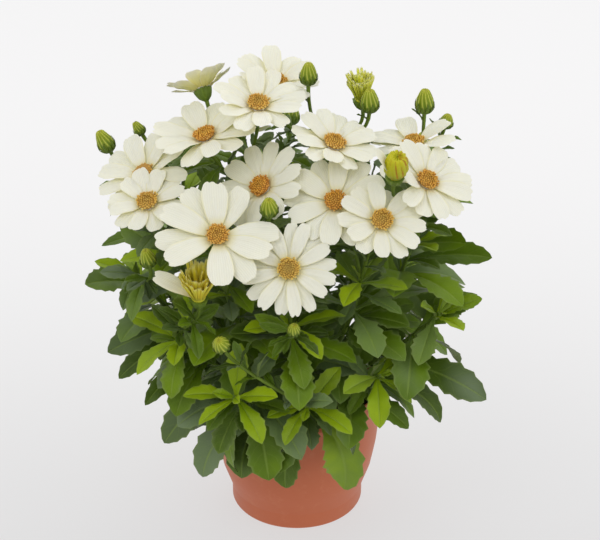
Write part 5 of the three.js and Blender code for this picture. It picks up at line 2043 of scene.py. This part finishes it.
@dataclass
class FloretDisc:
    """The disc of florets of every bloom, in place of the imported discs."""

    count: int = 104
    radius: float = 6.6
    dome: float = 2.7
    floret: float = 0.68
    foot: float = 2.9
    column: float = 3.3
    sides: int = 30
    cushion: tuple[Pair, ...] = (
        (0.3, 1.1), (5.4, 1.2), (6.7, 2.2), (6.9, 3.0), (6.0, 4.3), (3.6, 5.0), (1.6, 4.8), (0.3, 4.7),
    )

    def tree(self, finish: Material) -> GeometryTree:
        """Make the tree: florets in a spiral on a low dome, longer and leaning out towards the rim."""
        made = GeometryTree("floret_disc", Count=self.count, Radius=self.radius * MM, Dome=self.dome * MM,
                            Floret=self.floret * MM, Seed=1)
        w, given = made.w, made.given
        index = w.add("GeometryNodeInputIndex").outputs[0]
        share = w.math("SQRT", w.math("DIVIDE", w.plus(index, 0.5), given["Count"]))
        turn = w.times(index, math.radians(GOLDEN_ANGLE))
        cosine, sine = w.math("COSINE", turn), w.math("SINE", turn)
        out = w.times(w.times(share, w.random(0.93, 1.07, given["Seed"])), given["Radius"])
        drop = w.times(w.math("POWER", share, 2.4), given["Dome"])
        dip = w.times(w.math("POWER", w.minus(1, share), 3), w.times(given["Dome"], 0.35))
        height = w.minus(w.minus(given["Dome"], drop), dip)
        place = w.vector(w.times(out, cosine), w.times(out, sine), height)
        points = w.add("GeometryNodePoints", {"Count": given["Count"], "Position": place}).outputs[0]
        lean = w.vector(w.times(share, cosine), w.times(share, sine), 0.9)
        turned = w.add("FunctionNodeAlignRotationToVector", {"Vector": lean}, axis="Z").outputs[0]
        grown = w.times(w.random(0.72, 1.28, given["Seed"]), w.plus(0.62, w.times(share, 0.52)))
        made.end(finish, self.stored(w, points, "ring", share), self.shape(w), turned,
                 w.times(grown, given["Floret"]))
        return made

    def stored(self, w: Wiring, geometry: Socket, name: str, value: Socket) -> Socket:
        """Return a geometry that carries a number under a name."""
        return w.add("GeometryNodeStoreNamedAttribute", {"Geometry": geometry, "Name": name, "Value": value},
                     data_type="FLOAT", domain="POINT").outputs[0]

    def shape(self, w: Wiring) -> Socket:
        """Return one floret of unit radius: a five-sided tube that opens, with a pointed column in it."""
        joined = w.add("GeometryNodeJoinGeometry")
        for top, bottom, depth in ((0.95, 0.6, 2.2), (0.06, 0.45, self.column)):
            cone = w.add("GeometryNodeMeshCone", {
                "Vertices": 5, "Radius Top": top, "Radius Bottom": bottom, "Depth": depth,
            }, fill_type="TRIANGLE_FAN")
            w.tree.links.new(cone.outputs[0], joined.inputs[0])
        height = w.parts(w.add("GeometryNodeInputPosition").outputs[0])[2]
        return self.stored(w, joined.outputs[0], "tip", w.math("DIVIDE", height, self.column))

    def build(self, finishes: Finishes) -> None:
        """Build every disc: a smooth cushion and the florets that cover it.

        Args:
            finishes: The materials.
        """
        tree = self.tree(finishes.floret)
        for bloom in BLOOMS:
            carrier = placed("florets", bpy.data.meshes.new("florets"))
            florets = tree.apply(carrier, Seed=bloom.number, Count=self.count - 3 * (bloom.number % 5))
            spots = np.empty(len(florets.vertices) * 3, dtype=np.float32)
            florets.vertices.foreach_get("co", spots)
            spots = spots.reshape(-1, 3) / MM + (0, 0, self.foot - PRESSED_DISCS.get(bloom.number, 0))
            places = bloom.place + spots @ np.stack((bloom.axes.right, bloom.axes.up, bloom.axes.out))
            florets.vertices.foreach_set("co", (places * MM).astype(np.float32).reshape(-1))
            draft = Draft()
            draft.turned(bloom.place, bloom.axes, self.cushion, self.sides, bloom.ripe)
            cushion = draft.build("cushion", (finishes.floret,))
            # A tip of 0 gives the cushion the full painted shade of the florets' feet.
            for mesh, name, value in ((cushion.data, "ring", 0.9), (cushion.data, "tip", 0.0),
                                      (florets, "tone", bloom.ripe)):
                mark = mesh.attributes.new(name, "FLOAT", "POINT")
                mark.data.foreach_set("value", [value] * len(mesh.vertices))
            declare(self.joined(cushion, florets, f"{bloom.name}_florets"), "disc", f"{bloom.name}_disc")

    def joined(self, cushion: Piece, florets: Mesh, name: str) -> Piece:
        """Join a cushion and its florets into one object.

        Args:
            cushion: The cushion's object, which is removed.
            florets: The florets' mesh.
            name: The name of the result.

        Returns:
            The object that holds both.
        """
        sketch = bmesh.new()
        sketch.from_mesh(cushion.data)
        sketch.from_mesh(florets)
        mesh = bpy.data.meshes.new(name)
        sketch.to_mesh(mesh)
        sketch.free()
        mesh.materials.append(cushion.data.materials[0])
        bpy.data.objects.remove(cushion)
        return placed(name, mesh)


@dataclass
class FlowerPot:
    """The pot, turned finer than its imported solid, with its drainage holes, and its soil."""

    sides: int = 128
    profile: tuple[Pair, ...] = (
        (47.6, 0.0), (49.0, 0.35), (49.5, 1.3), (49.5, 12.3), (49.8, 13.2), (51.2, 17.6), (53.6, 24.8),
        (56.4, 33.0), (58.6, 44.5), (60.2, 54.0), (61.0, 62.0), (61.4, 76.0), (61.6, 93.6), (61.9, 94.1),
        (64.5, 94.5), (65.0, 95.2), (65.0, 103.9), (64.7, 104.7), (64.1, 105.0), (63.7, 104.9), (63.2, 104.2),
        (63.0, 103.4), (59.7, 94.0), (59.6, 93.0), (59.0, 61.6), (54.4, 32.6), (47.6, 4.4), (46.4, 3.0),
    )
    drain_holes: int = 6
    drain_radius: float = 4.5
    drain_ring: float = 30.0
    drill_length: float = 12.0

    def drill(self) -> Piece:
        """Return the rods that cut the drainage holes."""
        sketch = bmesh.new()
        radius = self.drain_radius * MM
        for turn in ring_angles(self.drain_holes):
            made = bmesh.ops.create_cone(sketch, cap_ends=True, segments=24, radius1=radius, radius2=radius,
                                         depth=self.drill_length * MM)
            middle = Vector((self.drain_ring * math.cos(turn), self.drain_ring * math.sin(turn), 0)) * MM
            bmesh.ops.translate(sketch, verts=made["verts"], vec=middle)
        mesh = bpy.data.meshes.new("drill")
        sketch.to_mesh(mesh)
        sketch.free()
        return placed("drill", mesh)

    def build(self, finishes: Finishes) -> None:
        """Build the pot and dress the soil.

        Args:
            finishes: The materials.
        """
        draft = Draft()
        draft.turned(ORIGIN, UPRIGHT, self.profile, self.sides, 0.5)
        shell = draft.build("flower_pot", (), sharp=34)
        drill = self.drill()
        cut = shell.modifiers.new("drain", "BOOLEAN")
        cut.operation, cut.object, cut.solver = "DIFFERENCE", drill, "EXACT"
        shell.data = evaluated(shell)
        shell.modifiers.remove(cut)
        bpy.data.objects.remove(drill)
        shell.data.materials.clear()
        shell.data.materials.append(finishes.pot)
        declare(shell, "pot", "pot")
        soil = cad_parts["soil"]
        for slot in soil.material_slots:
            slot.material = finishes.soil
        if not soil.material_slots:
            soil.data.materials.append(finishes.soil)


@dataclass
class Crumbs:
    """Loose crumbs that cover the top of the soil."""

    size: float = 1.5
    density: float = 150000.0
    sides: int = 32
    rows: tuple[Pair, ...] = ((0.5, 95.6), (20, 95.6), (36, 95.6), (48, 93.8), (58.2, 92.2))

    def build(self, finishes: Finishes) -> None:
        """Scatter the crumbs with geometry nodes and keep the plain mesh.

        Args:
            finishes: The materials.
        """
        made = GeometryTree("soil_crumbs", Density=self.density, Crumb=self.size * MM, Seed=4)
        w, seed = made.w, made.given["Seed"]
        points = w.add("GeometryNodeDistributePointsOnFaces", {
            "Mesh": made.given["Geometry"], "Density": made.given["Density"], "Seed": seed,
        })
        crumb = w.add("GeometryNodeMeshIcoSphere", {"Radius": 1.0, "Subdivisions": 1})
        size = w.random((0.3, 0.3, 0.2), (1.1, 0.8, 0.6), seed)
        scaled = w.add("ShaderNodeVectorMath", {0: size, "Scale": made.given["Crumb"]}, operation="SCALE")
        made.end(finishes.soil, points.outputs[0], crumb.outputs[0], w.random((0, 0, 0), (6, 6, 6), seed),
                 scaled.outputs[0])
        draft = Draft()
        draft.turned(ORIGIN, UPRIGHT, self.rows, self.sides, 0.0, capped=False)
        mesh = made.apply(draft.build("ground", ()))
        declare(placed("soil_crumbs", mesh), "soil")


@dataclass
class Studio:
    """The floor, the sky, the lights and the camera. Lengths are in metres; the lens is in millimetres.

    Each light has a name, a place, the length of its side and its power in watts.
    """

    target: Triple = (0.0023, 0.0, 0.195)
    distance: float = 1.4
    elevation: float = 29.2
    lens: float = 116.0
    sensor: float = 36.0
    sky: float = 0.7
    floor_reach: float = 6.0
    floor_z: float = -0.0003
    lights: tuple[tuple[str, Triple, float, float], ...] = (
        ("key", (-0.9, -1.2, 1.9), 1.2, 7.5),
        ("fill", (1.4, -0.6, 1.0), 1.2, 4),
        ("back", (0.3, 1.7, 1.7), 1.6, 8),
    )

    def floor(self, finishes: Finishes) -> None:
        """Lay a wide pale floor under the pot."""
        mesh = bpy.data.meshes.new("floor")
        reach = self.floor_reach
        corners = ((-reach, -reach), (reach, -reach), (reach, reach), (-reach, reach))
        mesh.from_pydata([(x, y, self.floor_z) for x, y in corners], [], [(0, 1, 2, 3)])
        mesh.materials.append(finishes.paper)
        placed("floor", mesh)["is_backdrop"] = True

    def hang(self, data: bpy.types.ID, at: Vector) -> Piece:
        """Put a lamp or a camera at a place so that it looks at the plant, and return it.

        Args:
            data: The lamp or the camera.
            at: The place.

        Returns:
            The object that holds it.
        """
        hung = placed(data.name, data)
        hung.location = at
        hung.rotation_euler = (Vector(self.target) - at).to_track_quat("-Z", "Y").to_euler()
        return hung

    def build(self, finishes: Finishes) -> None:
        """Build the floor, the sky, the square lights and the camera.

        Args:
            finishes: The materials.
        """
        self.floor(finishes)
        scene = bpy.context.scene
        scene.world = bpy.data.worlds.new("sky")
        scene.world.use_nodes = True
        w = Wiring(scene.world.node_tree)
        sky = w.add("ShaderNodeBackground", {"Color": (1.0, 0.995, 0.99, 1.0), "Strength": self.sky})
        w.add("ShaderNodeOutputWorld", {"Surface": sky.outputs[0]})
        for name, at, size, power in self.lights:
            lamp = bpy.data.lights.new(name, "AREA")
            lamp.shape, lamp.size, lamp.energy = "SQUARE", size, power
            self.hang(lamp, Vector(at))
        scene.view_settings.view_transform = "Standard"
        camera = bpy.data.cameras.new("camera")
        camera.lens, camera.sensor_width = self.lens, self.sensor
        low = math.radians(self.elevation)
        aim = Vector((0, -math.cos(low), math.sin(low)))
        scene.camera = self.hang(camera, Vector(self.target) + aim * self.distance)


def main() -> None:
    """Build every piece in order."""
    logging.basicConfig(level=logging.INFO, format="%(name)s: %(message)s")
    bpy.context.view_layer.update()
    finishes = Finishes()
    Studio().build(finishes)
    FlowerPot().build(finishes)
    Crumbs().build(finishes)
    crowd = Crowd()
    for number, shoot in enumerate(SHOOTS):
        LeafyShoot(shoot, number).build(finishes, crowd)
    for bloom in BLOOMS:
        PetalRing(bloom).build(finishes)
    FloretDisc().build(finishes)
    for brush in BRUSHES:
        StrapRing(brush).build(finishes)


if __name__ == "__main__":
    main()
